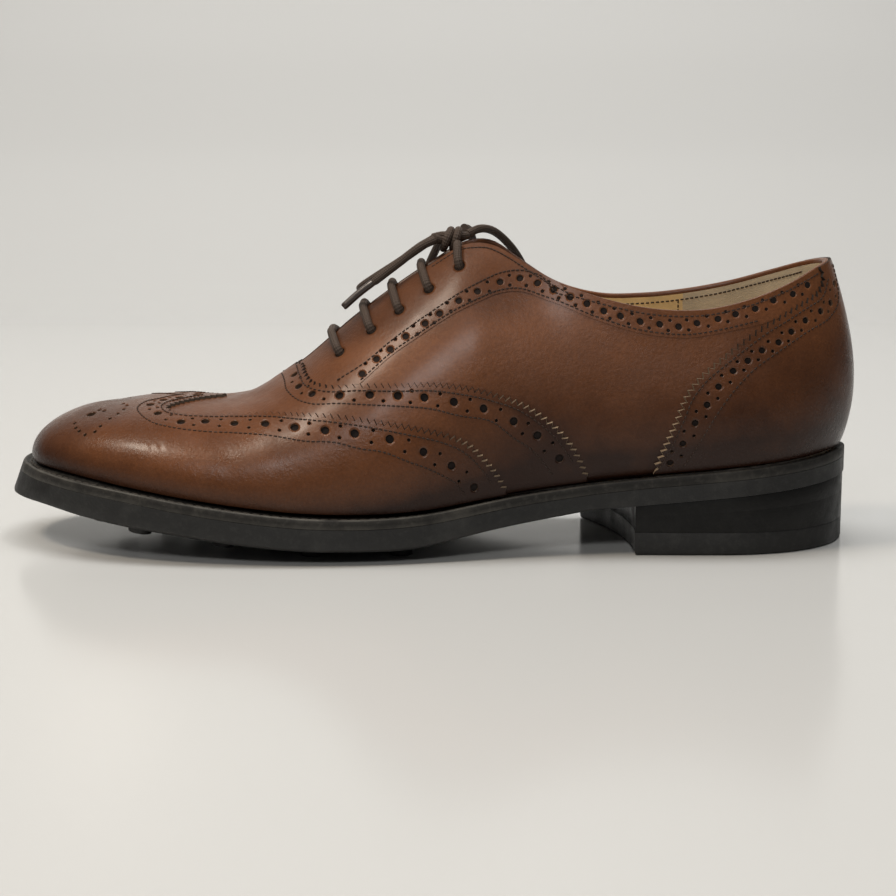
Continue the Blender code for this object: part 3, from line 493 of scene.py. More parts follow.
# Dark wax on the cut edges, also painted shadow along the foot of each edge
EDGE_WAX_AND_SHADOW = (0.02, 0.012, 0.008)
EDGE_RAW = (0.23, 0.165, 0.105)
# Spread of a cut edge at its foot, where its dark wall paints a shadow line round the edge, and how much
# darker the panel is beside it and how far
FILLET = 0.5
EDGE_TINT = 0.12
EDGE_FADE = 2.2
# Near-black floor of a brogue hole: painted shade in the hole
HOLE_SHADE = (0.012, 0.007, 0.005)
HOLE_WALL = (0.12, 0.068, 0.038)
VAMP_FRONT = 64.0
WING_RAMP = (40.0, 61.0)
# Heights of the ridge or collar, and of a panel's foot over the welt; spacing of plain edge points
TOP = 999
FOOT = 1.2
EDGE_STEP = 2.6
TOOTH = 2.5
TOOTH_DEPTH = 1.7
# Gap under a panel, its thickness, and the depth and width that its edge is thinned by
UNDER = 0.12
PANEL_THICK = 1.05
PANEL_SKIVE = (0.15, 0.7)
STRIP_THICK = 0.65
STRIP_SKIVE = (0.58, 3.0)
WING_STEP = 1.13
# A hole's depth as part of the thickness, how far its rim is pressed in, and the holes' radii
HOLE_DEPTH = 0.9
RIM_DIP = 0.14
BIG_HOLE = 1.45
FACING_HOLE = 1.2
SMALL_HOLE = 0.62
EYELET_HOLE = 1.95
# Pattern points: distance along the welt from the toe, height up the last
WING_EDGE = [
    (90, TOP), (84, 57), (77.5, 49.5), (72.5, 43), (71, 40), (73.5, 36.6), (79, 35.3), (86, 36), (96, 37),
    (108, 36.4), (122, 35), (136, 33.4), (150, 31), (162, 28.4), (172, 25.2), (180, 20.8), (186, 14.4),
    (190.5, 8), (194, FOOT)]
VAMP_EDGE = [
    (113, TOP), (118, 67), (121, 57.5), (124.5, 50.5), (130, 46.6), (142, 45), (155, 43.8), (168, 42.8),
    (180, 39.8), (191, 35.8), (202, 30.6), (209, 25), (214.5, 18.6), (219, 10.6), (222.5, FOOT)]
COUNTER_EDGE = [
    (311, TOP), (312, 63.5), (307.5, 58.6), (300, 56), (291, 52.8), (283, 49.4), (275.5, 45), (268.5, 40),
    (262, 34.8), (257, 28.6), (253.5, 20.6), (249.5, 11.6), (245.5, FOOT)]
STRIP_LINE = [
    (141, 46.2), (153, 56), (163, 61), (172.5, 65), (189, 69.4), (197, 71), (205, 70.6), (216, 64.6),
    (230, 56), (240, 51.8), (249, 49.8), (258, 49), (269, 50), (283.5, 51.4)]
WING_HOLES = [
    (80, 58), (74, 52.5), (67.5, 47.5), (63, 40), (69, 33), (79, 29), (87, 31), (97, 31), (108, 31),
    (119, 30), (130, 29), (140, 28), (152, 26), (164, 21), (174, 15), (182, 6)]
VAMP_HOLES = [
    (116, 59), (119, 50), (125, 44.5), (134.5, 42.2), (145, 41.5), (155, 40.5), (165, 39), (176, 36),
    (187, 32), (198, 26), (206, 20), (213, 11)]
COUNTER_HOLES = [
    (251, 5), (255, 12), (259, 19), (263, 25), (267, 31), (272, 36), (277, 39), (282, 42), (288, 44),
    (293, 47), (299, 50), (306, 52), (312, 54), (318, 60)]
STRIP_HOLES = [
    (142, 50), (147, 55), (152, 58), (158, 62), (166, 65.5), (172, 68), (180, 71), (188, 73), (198, 75),
    (206, 75), (212, 72), (217, 68.5), (222, 65), (227, 62), (232, 59), (237, 57), (243, 55), (249, 54),
    (255, 53), (261, 54), (268, 55), (274, 56), (281, 57), (288, 59), (296, 60), (303, 62)]
MEDALLION_BIG = [(34, 26)]
MEDALLION_SMALL = [
    (31, 19), (34, 17), (37, 16), (41, 15), (45, 17), (46, 20), (48, 25), (50, 29), (51, 33), (35, 30),
    (39, 30), (50, 37), (45, 39)]
# Columns: distance along the welt, distance from the facing's edge
EYELETS = np.array([(134, 16), (145, 15.5), (155.5, 14.5), (168, 12.5), (181, 9.8)], float)


def pattern_line(rows, spacing, shift=0.0):
    """A pattern line as smooth points a spacing apart; a height under 0 is measured down from the top."""
    points = np.array(rows, float)
    points[:, 0] += shift
    points[:, 1] = np.where(points[:, 1] < 0, rib_height(points[:, 0]) + points[:, 1], points[:, 1])
    points[:, 1] = np.minimum(points[:, 1], rib_height(points[:, 0]))
    run = run_of(points)
    points = smooth(run, points, np.linspace(0, run[-1], int(run[-1] / spacing) + 2))
    points[:, 1] = np.minimum(points[:, 1], rib_height(points[:, 0]))
    return points


def gimped(rows):
    """A pattern line cut in small teeth, with plain ends."""
    line = pattern_line(rows, TOOTH / 2)
    along = np.gradient(line, axis=0)
    along /= np.linalg.norm(along, axis=1)[:, None]
    side = np.column_stack([-along[:, 1], along[:, 0]])
    teeth = np.where(np.arange(len(line)) % 2 == 0, 0.5, -0.5) * TOOTH_DEPTH
    teeth[:2] = 0
    teeth[-2:] = 0
    line = line + side * teeth[:, None]
    line[:, 1] = np.minimum(line[:, 1], rib_height(line[:, 0]))
    return line


def level(first, end, up):
    """Pattern points at one height; the height may be TOP for the ridge or collar."""
    count = max(2, int(abs(end - first) / EDGE_STEP))
    places = np.linspace(first, end, count + 1)[1:-1]
    return np.column_stack([places, np.minimum(up, rib_height(places))])


def rib_line(place):
    """Pattern points up one rib, from just over the welt to the top."""
    ups = np.linspace(FOOT, rib_height(place), int(rib_height(place) / EDGE_STEP))
    return np.column_stack([np.full(len(ups), float(place)), ups])


def distance_to(outline, points, closed=True):
    """How far pattern points lie from a line, and whether they lie inside it."""
    hit = np.zeros(len(points), bool)
    near = np.full(len(points), np.inf)
    ends = np.roll(outline, -1, axis=0) if closed else outline[1:]
    for a, b in zip(outline, ends):
        if closed:
            cuts = (a[1] > points[:, 1]) != (b[1] > points[:, 1])
            rise = b[1] - a[1] if b[1] != a[1] else 1
            hit ^= cuts & (points[:, 0] < (b[0] - a[0]) * (points[:, 1] - a[1]) / rise + a[0])
        reach = max((b - a) @ (b - a), 1e-9)
        t = np.clip(((points - a) @ (b - a)) / reach, 0, 1)
        near = np.minimum(near, np.linalg.norm(points - a - t[:, None] * (b - a), axis=1))
    return near, hit


def punched(centres, radius, sides):
    """Round holes on the last, as rings of pattern points."""
    centres = np.asarray(centres, float)
    angles = np.arange(sides) * 2 * math.pi / sides
    here = last(centres[:, 0], centres[:, 1] / rib_height(centres[:, 0]))
    ahead = last(centres[:, 0] + 0.5, centres[:, 1] / rib_height(centres[:, 0] + 0.5)) - here
    above = last(centres[:, 0], (centres[:, 1] + 0.5) / rib_height(centres[:, 0])) - here
    rings = []
    for centre, e1, e2 in zip(centres, 2 * ahead, 2 * above):
        first = e1 / np.linalg.norm(e1)
        second = e2 - (e2 @ first) * first
        second /= np.linalg.norm(second)
        matrix = np.array([[e1 @ first, e2 @ first], [e1 @ second, e2 @ second]])
        ring = np.linalg.solve(matrix, radius * np.vstack([np.cos(angles), np.sin(angles)]))
        rings.append(centre + ring.T)
    return rings


def brogue_rings(centres, big, spread):
    """A row of big holes with a pair of small ones between neighbours."""
    centres = np.asarray(centres, float)
    rings = punched(centres, big, 14)
    for a, b in zip(centres[:-1], centres[1:]):
        along = (b - a) / np.linalg.norm(b - a)
        side = np.array([-along[1], along[0]]) * spread
        rings += punched([(a + b) / 2 + side, (a + b) / 2 - side], SMALL_HOLE, 8)
    return rings


def wing_under(along):
    """Underside of the wing: over the vamp near its edge, down on the quarters toward the toe."""
    ramp = np.clip((along - WING_RAMP[0]) / (WING_RAMP[1] - WING_RAMP[0]), 0, 1)
    return UNDER + WING_STEP * ramp


def lay_panel(name, outline, free, rings, signs, under, thick, skive, spacing, finishes, tint=0.0,
              fillet=0.0):
    """A punched panel on one or both sides: face, blind holes, cut edges and underside in one mesh."""
    skive_depth, skive_width = skive
    after = np.roll(outline, -1, axis=0)
    if (outline[:, 0] * after[:, 1] - outline[:, 1] * after[:, 0]).sum() < 0:
        outline, free = outline[::-1], np.roll(free[::-1], -1)
    rings = [ring for ring in rings if distance_to(outline, ring)[0].min() > 0.35]
    # Points inside the outline, clear of it and of the holes
    low, high = outline.min(axis=0), outline.max(axis=0)
    columns = np.arange(low[0], high[0], spacing)
    lines = np.arange(low[1], high[1], spacing * 0.9)
    grid = np.array([(a + (spacing / 2 if k % 2 else 0), u) for k, u in enumerate(lines) for a in columns])
    near, within = distance_to(outline, grid)
    keep = within & (near > spacing * 0.62)
    rims = [ring.mean(axis=0) + (ring - ring.mean(axis=0)) * 1.5 for ring in rings]
    rims = np.vstack(rims) if rims else np.zeros((0, 2))
    near, within = distance_to(outline, rims)
    clear = within & (near > 0.3)
    for ring in rings:
        middle = ring.mean(axis=0)
        reach = np.abs(ring - middle).max(axis=0)
        keep &= (((grid - middle) / (1.5 * reach + 0.5))**2).sum(axis=1) > 1
        clear &= (((rims - middle) / (1.3 * reach))**2).sum(axis=1) > 1
    grid = np.vstack([rims[clear], grid[keep]])
    # Triangles over the flat pattern; those that lie in one hole are its floor
    flat = np.vstack([outline] + rings + [grid])
    edges = [(i, (i + 1) % len(outline)) for i in range(len(outline))]
    ring_of = np.full(len(flat), -1)
    start = len(outline)
    for k, ring in enumerate(rings):
        edges += [(start + i, start + (i + 1) % len(ring)) for i in range(len(ring))]
        ring_of[start:start + len(ring)] = k
        start += len(ring)
    points, _, triangles, origin, *_ = delaunay_2d_cdt([tuple(p) for p in flat], edges, [], 1, 1e-6)
    flat_made = np.array([flat[o[0]] if o else tuple(p) for p, o in zip(points, origin)])
    ring_made = np.array([ring_of[o[0]] if o else -1 for o in origin])
    made_from = {source: k for k, o in enumerate(origin) for source in o}
    triangles = np.array([tuple(t) for t in triangles])
    owner = ring_made[triangles]
    floors = (owner[:, 0] >= 0) & (owner == owner[:, :1]).all(axis=1)
    # How high the face lies, thinned toward its cut edges, and where the foot of each cut edge stands
    free_line = [outline[i:i + 2] for i in range(len(outline) - 1) if free[i]]
    near_free = np.full(len(flat_made), np.inf)
    for piece in free_line:
        near_free = np.minimum(near_free, distance_to(piece, flat_made, closed=False)[0])
    under = under(flat_made[:, 0]) if callable(under) else np.full(len(flat_made), under)
    top_lift = under + thick - skive_depth * np.exp(-(near_free / skive_width)**2)
    top_lift -= np.where(ring_made >= 0, RIM_DIP, 0)
    count = len(flat_made)
    on_cut = (near_free < 0.01) & (flat_made[:, 1] > 3)
    border = [made_from[i] for i in range(len(outline))]
    ahead = np.roll(outline, -2, axis=0) - np.roll(outline, 2, axis=0)
    outward = np.column_stack([ahead[:, 1], -ahead[:, 0]]) / np.linalg.norm(ahead, axis=1)[:, None]
    foot = flat_made.copy()
    foot[border] += fillet * outward * on_cut[border][:, None]
    foot[:, 1] = np.minimum(foot[:, 1], rib_height(foot[:, 0]))
    starts = len(outline) + np.concatenate([[0], np.cumsum([len(ring) for ring in rings])])
    ring_index = [[made_from[start + i] for i in range(len(ring))] for start, ring in zip(starts, rings)]
    # Face, underside, hole floors, cut edges and hole walls on each side of the shoe
    all_points, all_normals, all_faces, all_index, all_tint = [], [], [], [], []
    base = 0
    for sign in signs:
        along, up = sign * flat_made[:, 0], flat_made[:, 1]
        top, out = laid(along, up, top_lift)
        bottom, _ = laid(sign * foot[:, 0], foot[:, 1], under)
        in_ring = np.flatnonzero(ring_made >= 0)
        pit_lift = np.maximum(top_lift - HOLE_DEPTH * thick, under + 0.03)
        pit, _ = laid(along[in_ring], up[in_ring], pit_lift[in_ring])
        for ring in ring_index:
            toward = top[ring].mean(axis=0) - top[ring]
            toward /= np.linalg.norm(toward, axis=1)[:, None]
            out[ring] += 0.8 * toward
            out[ring] /= np.linalg.norm(out[ring], axis=1)[:, None]
        pit_of = {v: base + 2 * count + k for k, v in enumerate(in_ring)}
        order = slice(None, None, -sign)
        for face, floor in zip(triangles, floors):
            if floor:
                # A hole's floor takes the near-black painted shade
                all_faces.append(tuple(pit_of[v] for v in face[order]))
                all_index.append(2)
            else:
                all_faces.append(tuple(base + v for v in face[order]))
                all_index.append(0)
            all_faces.append(tuple(base + count + v for v in face[::-1][order]))
            all_index.append(1)
        for i, ready in enumerate(free):
            if ready:
                a, b = border[i], border[(i + 1) % len(border)]
                all_faces.append(tuple((base + a, base + count + a, base + count + b, base + b))[order])
                all_index.append(1)
        for ring in ring_index:
            for a, b in zip(ring, ring[1:] + ring[:1]):
                all_faces.append((base + b, pit_of[b], pit_of[a], base + a)[order])
                all_index.append(3)
        all_points += [top, bottom, pit]
        all_normals += [out, -out, out[in_ring]]
        # Polish and painted shade over the face, darker beside cut edges
        edge_shade = EDGE_TINT if fillet else 0.0
        shade = polish_and_shade_at(along, up) + tint + edge_shade * np.exp(-(near_free / EDGE_FADE)**2)
        all_tint += [shade, shade, shade[in_ring]]
        base += 2 * count + len(in_ring)
    cloud, clean, first = welded(np.vstack(all_points), all_faces)
    kept = [k for k, face in enumerate(clean) if len(face) > 2]
    clean = [clean[k] for k in kept]
    index = [all_index[k] for k in kept]
    # The face is shaded as one smooth skin, and everything else flat
    directions = np.vstack(all_normals)[first]
    loops = []
    for face, kind in zip(clean, index):
        if kind == 0:
            loops.extend(directions[list(face)])
        else:
            a, b, c = cloud[list(face[:3])]
            flat_out = np.cross(b - a, c - a)
            flat_out = flat_out / max(np.linalg.norm(flat_out), 1e-9)
            loops.extend([flat_out] * len(face))
    return make_piece(name, cloud, clean, finishes, index, loops, np.concatenate(all_tint)[first])


def edge_finish():
    """The cut edge of the calf: dark with wax and painted shadow, worn to the raw pale leather where the
    panel is darkest.
    """
    made, tree, shader = finish_of("gimped edge", EDGE_WAX_AND_SHADOW, 0.7, specular=0.3)
    polish_wear_and_shade = node_of(tree, "ShaderNodeAttribute", attribute_name="polish_wear_and_shade")
    worn = ranged(tree, polish_wear_and_shade.outputs["Fac"], 0.45, 0.8)
    tree.links.new(mixed(tree, worn, EDGE_WAX_AND_SHADOW, EDGE_RAW), shader.inputs["Base Color"])
    add_bump(tree, shader, noise_at(tree, 1800, 4, 0.6), 0.3, 0.0006)
    return made


def panel_outline(*parts):
    """Outline from (points, free) runs; free runs are cut edges, the others join the other half."""
    points = np.vstack([run for run, _ in parts])
    free = np.concatenate([np.full(len(run), ready) for run, ready in parts])
    return points, free


edge_calf = edge_finish()
# Painted shade on the floors of the brogue holes
hole_shade = rough_finish("hole dark", HOLE_SHADE, 0.9, 1500, 0.2)
hole_wall = rough_finish("punched wall", HOLE_WALL, 0.8, 1800, 0.3)
wing_calf = calf_finish("wing calf", CALF_LIGHT, CALF_DARK, 0.27)
toe = rib_line(0.0)
back = rib_line(BACK)

vamp_line = gimped(VAMP_EDGE)
outline, free = panel_outline((level(VAMP_FRONT, VAMP_EDGE[-1][0], FOOT), True), (vamp_line[::-1], True),
                              (level(VAMP_EDGE[0][0], VAMP_FRONT, TOP), False),
                              (rib_line(VAMP_FRONT)[::-1], True))
rings = brogue_rings(VAMP_HOLES, BIG_HOLE, 2.0)
vamp = lay_panel("vamp_leather", outline, free, rings, (-1, 1), UNDER, PANEL_THICK, PANEL_SKIVE, 3.0,
                 [quarter_calf, edge_calf, hole_shade, hole_wall], fillet=FILLET)
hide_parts("vamp")

wing_line = gimped(WING_EDGE)
outline, free = panel_outline((level(0, WING_EDGE[-1][0], FOOT), True), (wing_line[::-1], True),
                              (level(WING_EDGE[0][0], 0, TOP), False), (toe[::-1], False))
rings = brogue_rings(WING_HOLES, BIG_HOLE, 2.0) + punched(MEDALLION_BIG, 1.6, 14)
rings += punched(MEDALLION_SMALL, 0.7, 8)
wing = lay_panel("wing_cap_leather", outline, free, rings, (-1, 1), wing_under, PANEL_THICK, PANEL_SKIVE, 1.8,
                 [wing_calf, edge_calf, hole_shade, hole_wall], fillet=FILLET)
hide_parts("wing_cap")

counter_line = gimped(COUNTER_EDGE)
outline, free = panel_outline((level(BACK, COUNTER_EDGE[-1][0], FOOT), True), (counter_line[::-1], True),
                              (level(COUNTER_EDGE[0][0], BACK, TOP), True), (back[::-1], False))
rings = brogue_rings(COUNTER_HOLES, FACING_HOLE, 1.9)
counter = lay_panel("counter_leather", outline, free, rings, (-1, 1), UNDER, PANEL_THICK, PANEL_SKIVE, 2.6,
                    [wing_calf, edge_calf, hole_shade, hole_wall], tint=0.05, fillet=FILLET)
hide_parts("heel_counter")

strip_line = pattern_line(STRIP_LINE, 2.2)
strip_front = pattern_line(VAMP_EDGE, 2.2, 0.5)
strip_front = strip_front[strip_front[:, 1] > strip_line[0, 1] + 1]
strip_back = pattern_line(COUNTER_EDGE, 2.2, -0.5)
strip_back = strip_back[strip_back[:, 1] > strip_line[-1, 1] + 1]
outline, free = panel_outline((strip_line, True), (strip_back[::-1], True),
                              (level(strip_back[0, 0], strip_front[0, 0], TOP), True), (strip_front, True))
eyelet_places = np.column_stack([EYELETS[:, 0], rib_height(EYELETS[:, 0]) - EYELETS[:, 1]])
rings = brogue_rings(STRIP_HOLES, FACING_HOLE, 1.8) + punched(eyelet_places, EYELET_HOLE, 18)
for side_name, sign in (("outer", -1), ("inner", 1)):
    strip = lay_panel("facing_leather_" + side_name, outline, free, rings, (sign,), UNDER, STRIP_THICK,
                      STRIP_SKIVE, 2.4, [quarter_calf, quarter_calf, hole_shade, hole_wall])
    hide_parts("facing_strip_" + side_name)


# Stitching of the upper
# Waxed dark brown thread, lock-stitched in short lengths along both sides of each brogue band,
# round the collar and down the heel counter.

THREAD = (0.035, 0.018, 0.011)
STITCH = {"pitch": 1.75, "length": 1.3, "radius": 0.29, "sides": 6}
WING_LIFT, VAMP_LIFT, STRIP_LIFT, COUNTER_LIFT = 1.05, 1.17, 0.12, 1.17
# Seam, its lift and its line in pattern points; a height under 0 is measured down from the top
SEAMS = [
    ("wing", WING_LIFT, [
        (74, 62), (69, 54), (64, 48), (59, 43), (58, 35), (62, 30), (69, 26), (77, 25), (85, 25),
        (98, 26), (112, 26), (123, 25), (133, 25), (142, 23), (149, 22), (159, 18), (164, 16), (171, 12),
        (175, 9), (178, 5)]),
    ("wing", WING_LIFT, [
        (82, 57.5), (76, 51), (70, 44), (68.8, 40), (71.5, 35.2), (78.5, 33.4), (86, 34), (96, 35),
        (108, 34.4), (122, 33), (136, 31.4), (150, 29), (161, 26.4), (171, 23.2), (178, 19.2), (184, 13),
        (188, 7)]),
    ("vamp", VAMP_LIFT, [
        (110, 66), (112, 57), (114, 49), (119, 43), (125, 40), (135, 39), (144, 38), (154, 37), (167, 35),
        (178, 31), (190, 27), (198, 20), (203, 16), (207, 11), (210, 6)]),
    ("vamp", VAMP_LIFT, [
        (116.5, 66), (119, 57), (122.6, 49), (129, 44.8), (142, 43.2), (155, 42), (167.5, 41), (179, 38),
        (190, 34.2), (200.6, 29.2), (207.4, 23.8), (212.7, 17.6), (217, 10)]),
    ("facing", STRIP_LIFT, [
        (134, 49), (142, 53.5), (153, 61.5), (173, 71), (190, 76.5), (200, 78.5), (208, 77.5),
        (213, 74.6), (218, -4.2), (224, -2.6), (232, -2), (242, -1.9), (252, -1.9), (262, -1.9),
        (272, -1.9), (282, -1.9), (292, -1.9), (302, -1.9), (309, -1.9)]),
    ("facing", STRIP_LIFT, [
        (142, 48.2), (153, 57.2), (163, 62.2), (172.5, 66.2), (189, 70.6), (197, 72.1), (204.6, 71.8),
        (215.6, 66), (230, 57.2), (240, 53), (249, 51), (258, 50.2), (269, 51.2), (281, 52.6)]),
    ("facing", STRIP_LIFT, [
        (170, -2.2), (177, -2.2), (183, -2.4), (187.5, -2.6), (193, -2.2), (202, -2.2), (210, -2.2),
        (216, -2.2), (221, -2.3)]),
    ("counter", COUNTER_LIFT, [
        (256, 4), (259, 9), (264, 18), (271, 28), (278, 35), (288, 41), (299, 46), (309, 49), (316, 53),
        (321, 60), (323, 66)]),
    ("counter", COUNTER_LIFT, [
        (247.6, 4), (251.2, 11.2), (255.2, 20), (258.6, 27.6), (263.4, 33.4), (269.8, 38.4),
        (276.8, 43.3), (284, 47.6), (292, 51), (300.6, 54.2), (308, 56.6), (313.6, 62)])]
LINING_SEAMS = [
    [(224, -3.4), (240, -3.4), (256, -3.4), (272, -3.4), (290, -3.4), (310, -3.4)],
    [(261, -4), (261, -14), (261, -24), (261, -36)]]


def ring_faces(count, size, base=0, closed=False, turned=False):
    """Quads between neighbouring rings of points; closed joins the last ring to the first."""
    faces = []
    for i in range(count if closed else count - 1):
        here, there = base + i * size, base + (i + 1) % count * size
        for k in range(size):
            n = (k + 1) % size
            if turned:
                faces.append((here + k, there + k, there + n, here + n))
            else:
                faces.append((here + k, here + n, there + n, there + k))
    return faces


def stitches(name, runs, size, finish):
    """Short rounded stitches in a row along each run of points and directions, as one mesh."""
    rings = [(-0.5, 0.35), (-0.36, 0.95), (0.36, 0.95), (0.5, 0.35)]
    angles = np.arange(size["sides"]) * 2 * math.pi / size["sides"]
    points, faces = [], []
    for spots, outs in runs:
        tangents = np.gradient(spots, axis=0)
        tangents /= np.linalg.norm(tangents, axis=1)[:, None]
        for spot, out, tangent in zip(spots, outs, tangents):
            side = np.cross(out, tangent)
            base = len(points) * len(angles)
            for place, wide in rings:
                centre = spot + tangent * place * size["length"]
                radius = wide * size["radius"]
                points.append([centre + radius * (math.cos(a) * side + math.sin(a) * out) for a in angles])
            count = len(angles)
            faces += ring_faces(len(rings), count, base, turned=True)
            faces.append(tuple(base + k for k in range(count)))
            faces.append(tuple(base + (len(rings) - 1) * count + k for k in range(count))[::-1])
    return make_piece(name, np.vstack(points), faces, [finish])


thread = rough_finish("waxed thread", THREAD, 0.55, 4000, 0.4)
for seam_name in ("wing", "vamp", "facing", "counter"):
    runs = []
    for group, lift, rows in SEAMS:
        if group == seam_name:
            line = pattern_line(rows, STITCH["pitch"])
            for sign in (-1, 1):
                over = 0.0
                if group == "wing":
                    over = wing_under(line[:, 0])
                elif group == "facing":
                    edge = np.minimum(distance_to(strip_line, line, closed=False)[0],
                                      rib_height(line[:, 0]) - line[:, 1])
                    over = STRIP_THICK - STRIP_SKIVE[0] * np.exp(-(edge / STRIP_SKIVE[1])**2)
                runs.append(laid(sign * line[:, 0], line[:, 1], lift + over + 0.02))
    if seam_name == "facing":
        for rows in LINING_SEAMS:
            line = pattern_line(rows, STITCH["pitch"])
            runs += [laid(sign * line[:, 0], line[:, 1], -WALL - 0.05) for sign in (-1, 1)]
    sewn = stitches("stitching_" + seam_name, runs, STITCH, thread)


# Tongue
# A soft calf tongue under the facings, from the throat up to the top eyelets. It is sewn in at the
# throat and lies free above.

TONGUE_SIDE = 18.0
TONGUE_THICK = 2.4
TONGUE_DROP = -2.9
TONGUE_ENDS = (115.0, 187.0)


def make_tongue():
    """Rows across the throat, following both facings and bridging the gap, with rounded edges."""
    under = np.linspace(TONGUE_SIDE, 0.5, 9)
    rows = []
    for along in np.linspace(*TONGUE_ENDS, 40):
        up = rib_height(along) - under
        outer, _ = laid(np.full(9, -along), up, TONGUE_DROP)
        inner, _ = laid(np.full(9, along), up, TONGUE_DROP)
        inner = inner[::-1]
        middle = [outer[-1] + (inner[0] - outer[-1]) * t + (0, 0, 1.2 * math.sin(math.pi * t))
                  for t in np.linspace(0, 1, 9)[1:-1]]
        rows.append(np.vstack([outer, middle, inner]))
    grid = np.array(rows)
    across = np.gradient(grid, axis=1)
    along = np.gradient(grid, axis=0)
    out = np.cross(along, across)
    out /= np.linalg.norm(out, axis=2)[:, :, None]
    low = grid - TONGUE_THICK * out
    count, size = grid.shape[:2]
    points = np.vstack([grid.reshape(-1, 3), low.reshape(-1, 3)])
    half = count * size
    faces, finish = [], []
    for i in range(count - 1):
        for j in range(size - 1):
            a = i * size + j
            faces.append((a, a + size, a + size + 1, a + 1))
            faces.append((half + a, half + a + 1, half + a + size + 1, half + a + size))
            finish += [0, 1]
    rim = [i * size for i in range(count)] + [(count - 1) * size + j for j in range(1, size)]
    rim += [i * size + size - 1 for i in range(count - 2, -1, -1)] + [j for j in range(size - 2, 0, -1)]
    for a, b in zip(rim, rim[1:] + rim[:1]):
        faces.append((a, half + a, half + b, b))
        finish.append(0)
    tan = rough_finish("tongue lining", LINING_TAN, 0.6, 1500, 0.25)
    shade = np.full(len(points), 0.35)
    piece = make_piece("tongue_leather", points, faces, [quarter_calf, tan], finish, polish_wear_and_shade=shade)
    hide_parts("tongue")


make_tongue()


# Insole and sock
# A leather insole whose rim lies on the welt and whose middle fills the hollow inside the welt's ring.
# A tan leather sock is glued over it.

INSOLE_RISE = 2.0
INSOLE_ROWS = 90
RIM_INSET = 2.8
RIM_GAP = 0.3
PLUG_INSET = 13.5
PLUG_DROP = -3.2
SOCK_TAN = (0.40, 0.26, 0.11)
sock_tan = rough_finish("sock leather", SOCK_TAN, 0.55, 1300, 0.25)


def make_insole():
    """A lens of rungs across the shoe: plug inside the welt, rim over it and a softly dished top."""
    places = (np.arange(2 * INSOLE_ROWS) + 0.5) / (2 * INSOLE_ROWS)
    feather = rib_controls((places * 2 - 1) * BACK)[:, 0, :2]
    rim = inset(feather, RIM_INSET)
    plug = inset(sole_loop(places), PLUG_INSET)
    section = [(plug, PLUG_DROP), (plug, RIM_GAP), (rim, RIM_GAP), (rim, INSOLE_RISE - 0.5)]
    sides = np.linspace(0, 1, 15)
    rings = []
    for k in range(INSOLE_ROWS):
        m = 2 * INSOLE_ROWS - 1 - k
        ring = []
        for loop, rise in section:
            ring.append((*loop[k], profile(1, loop[k][0])[0] + rise))
        for s in sides:
            spot = rim[k] + (rim[m] - rim[k]) * (0.015 + 0.97 * s)
            dish = 0.35 * math.sin(math.pi * s)
            ring.append((*spot, profile(1, spot[0])[0] + INSOLE_RISE - dish))
        for loop, rise in section[::-1]:
            ring.append((*loop[m], profile(1, loop[m][0])[0] + rise))
        rings.append(ring)
    size = len(rings[0])
    faces = ring_faces(INSOLE_ROWS, size)
    faces.append(tuple(range(size))[::-1])
    faces.append(tuple((INSOLE_ROWS - 1) * size + k for k in range(size)))
    piece = make_piece("insole_and_sock", np.vstack(rings), faces, [sock_tan])
    piece.data.set_sharp_from_angle(angle=math.radians(40))
    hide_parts("insole")


make_insole()


# Welt
# A leather strip, dressed black, sewn to the upper all round and stitched through to the outsole.
# Its edge is trimmed flush and rubbed pale in places.

EDGE_BLACK = (0.014, 0.0128, 0.0115)
EDGE_WORN = (0.1, 0.092, 0.078)
WELT_ROWS = 420
# Inset from the edge, rise over the welt's top, wear
WELT_SECTION = [(1.2, -3.5, 0), (0.12, -3.49, 0), (0.0, -3.38, 0.6), (0.0, -1.9, 0.1), (0.03, -0.55, 0.2),
                (0.25, -0.14, 0.9), (0.8, 0.0, 0.35), (1.5, -0.08, 0), (2.4, -0.6, 0), (3.3, -0.95, 0),
                (4.7, -1.0, 0), (5.9, -0.6, 0), (7.4, 0.1, 0), (9.5, 0.1, 0), (13.0, 0.0, 0), (13.0, -3.5, 0)]


def sole_finish(name, colour, worn, roughness, wear, grain, specular=0.4):
    """Black dressed edge or rubber, with rubbed pale patches, fine grain and a dull polish."""
    made, tree, shader = finish_of(name, colour, roughness, specular=specular)
    patches = ranged(tree, noise_at(tree, 60, 6, 0.65), 0.52, 0.78, 0.0, wear)
    streaks = ranged(tree, noise_at(tree, 420, 5, 0.7), 0.5, 0.8, 0.0, wear * 0.8)
    colour_socket = mixed(tree, patches, colour, worn)
    colour_socket = mixed(tree, streaks, colour_socket, worn)
    arris = node_of(tree, "ShaderNodeAttribute", attribute_name="polish_wear_and_shade")
    rubbed = node_of(tree, "ShaderNodeMath", operation="MULTIPLY")
    tree.links.new(arris.outputs["Fac"], rubbed.inputs[0])
    tree.links.new(ranged(tree, noise_at(tree, 90, 5, 0.6), 0.3, 0.6, 0.15, 0.9), rubbed.inputs[1])
    colour_socket = mixed(tree, rubbed.outputs[0], colour_socket, worn)
    tree.links.new(colour_socket, shader.inputs["Base Color"])
    tree.links.new(ranged(tree, noise_at(tree, 130, 4), 0.3, 0.7, roughness - 0.08, roughness + 0.14),
                   shader.inputs["Roughness"])
    add_bump(tree, shader, noise_at(tree, grain, 4, 0.6), 0.22, 0.0005)
    return made


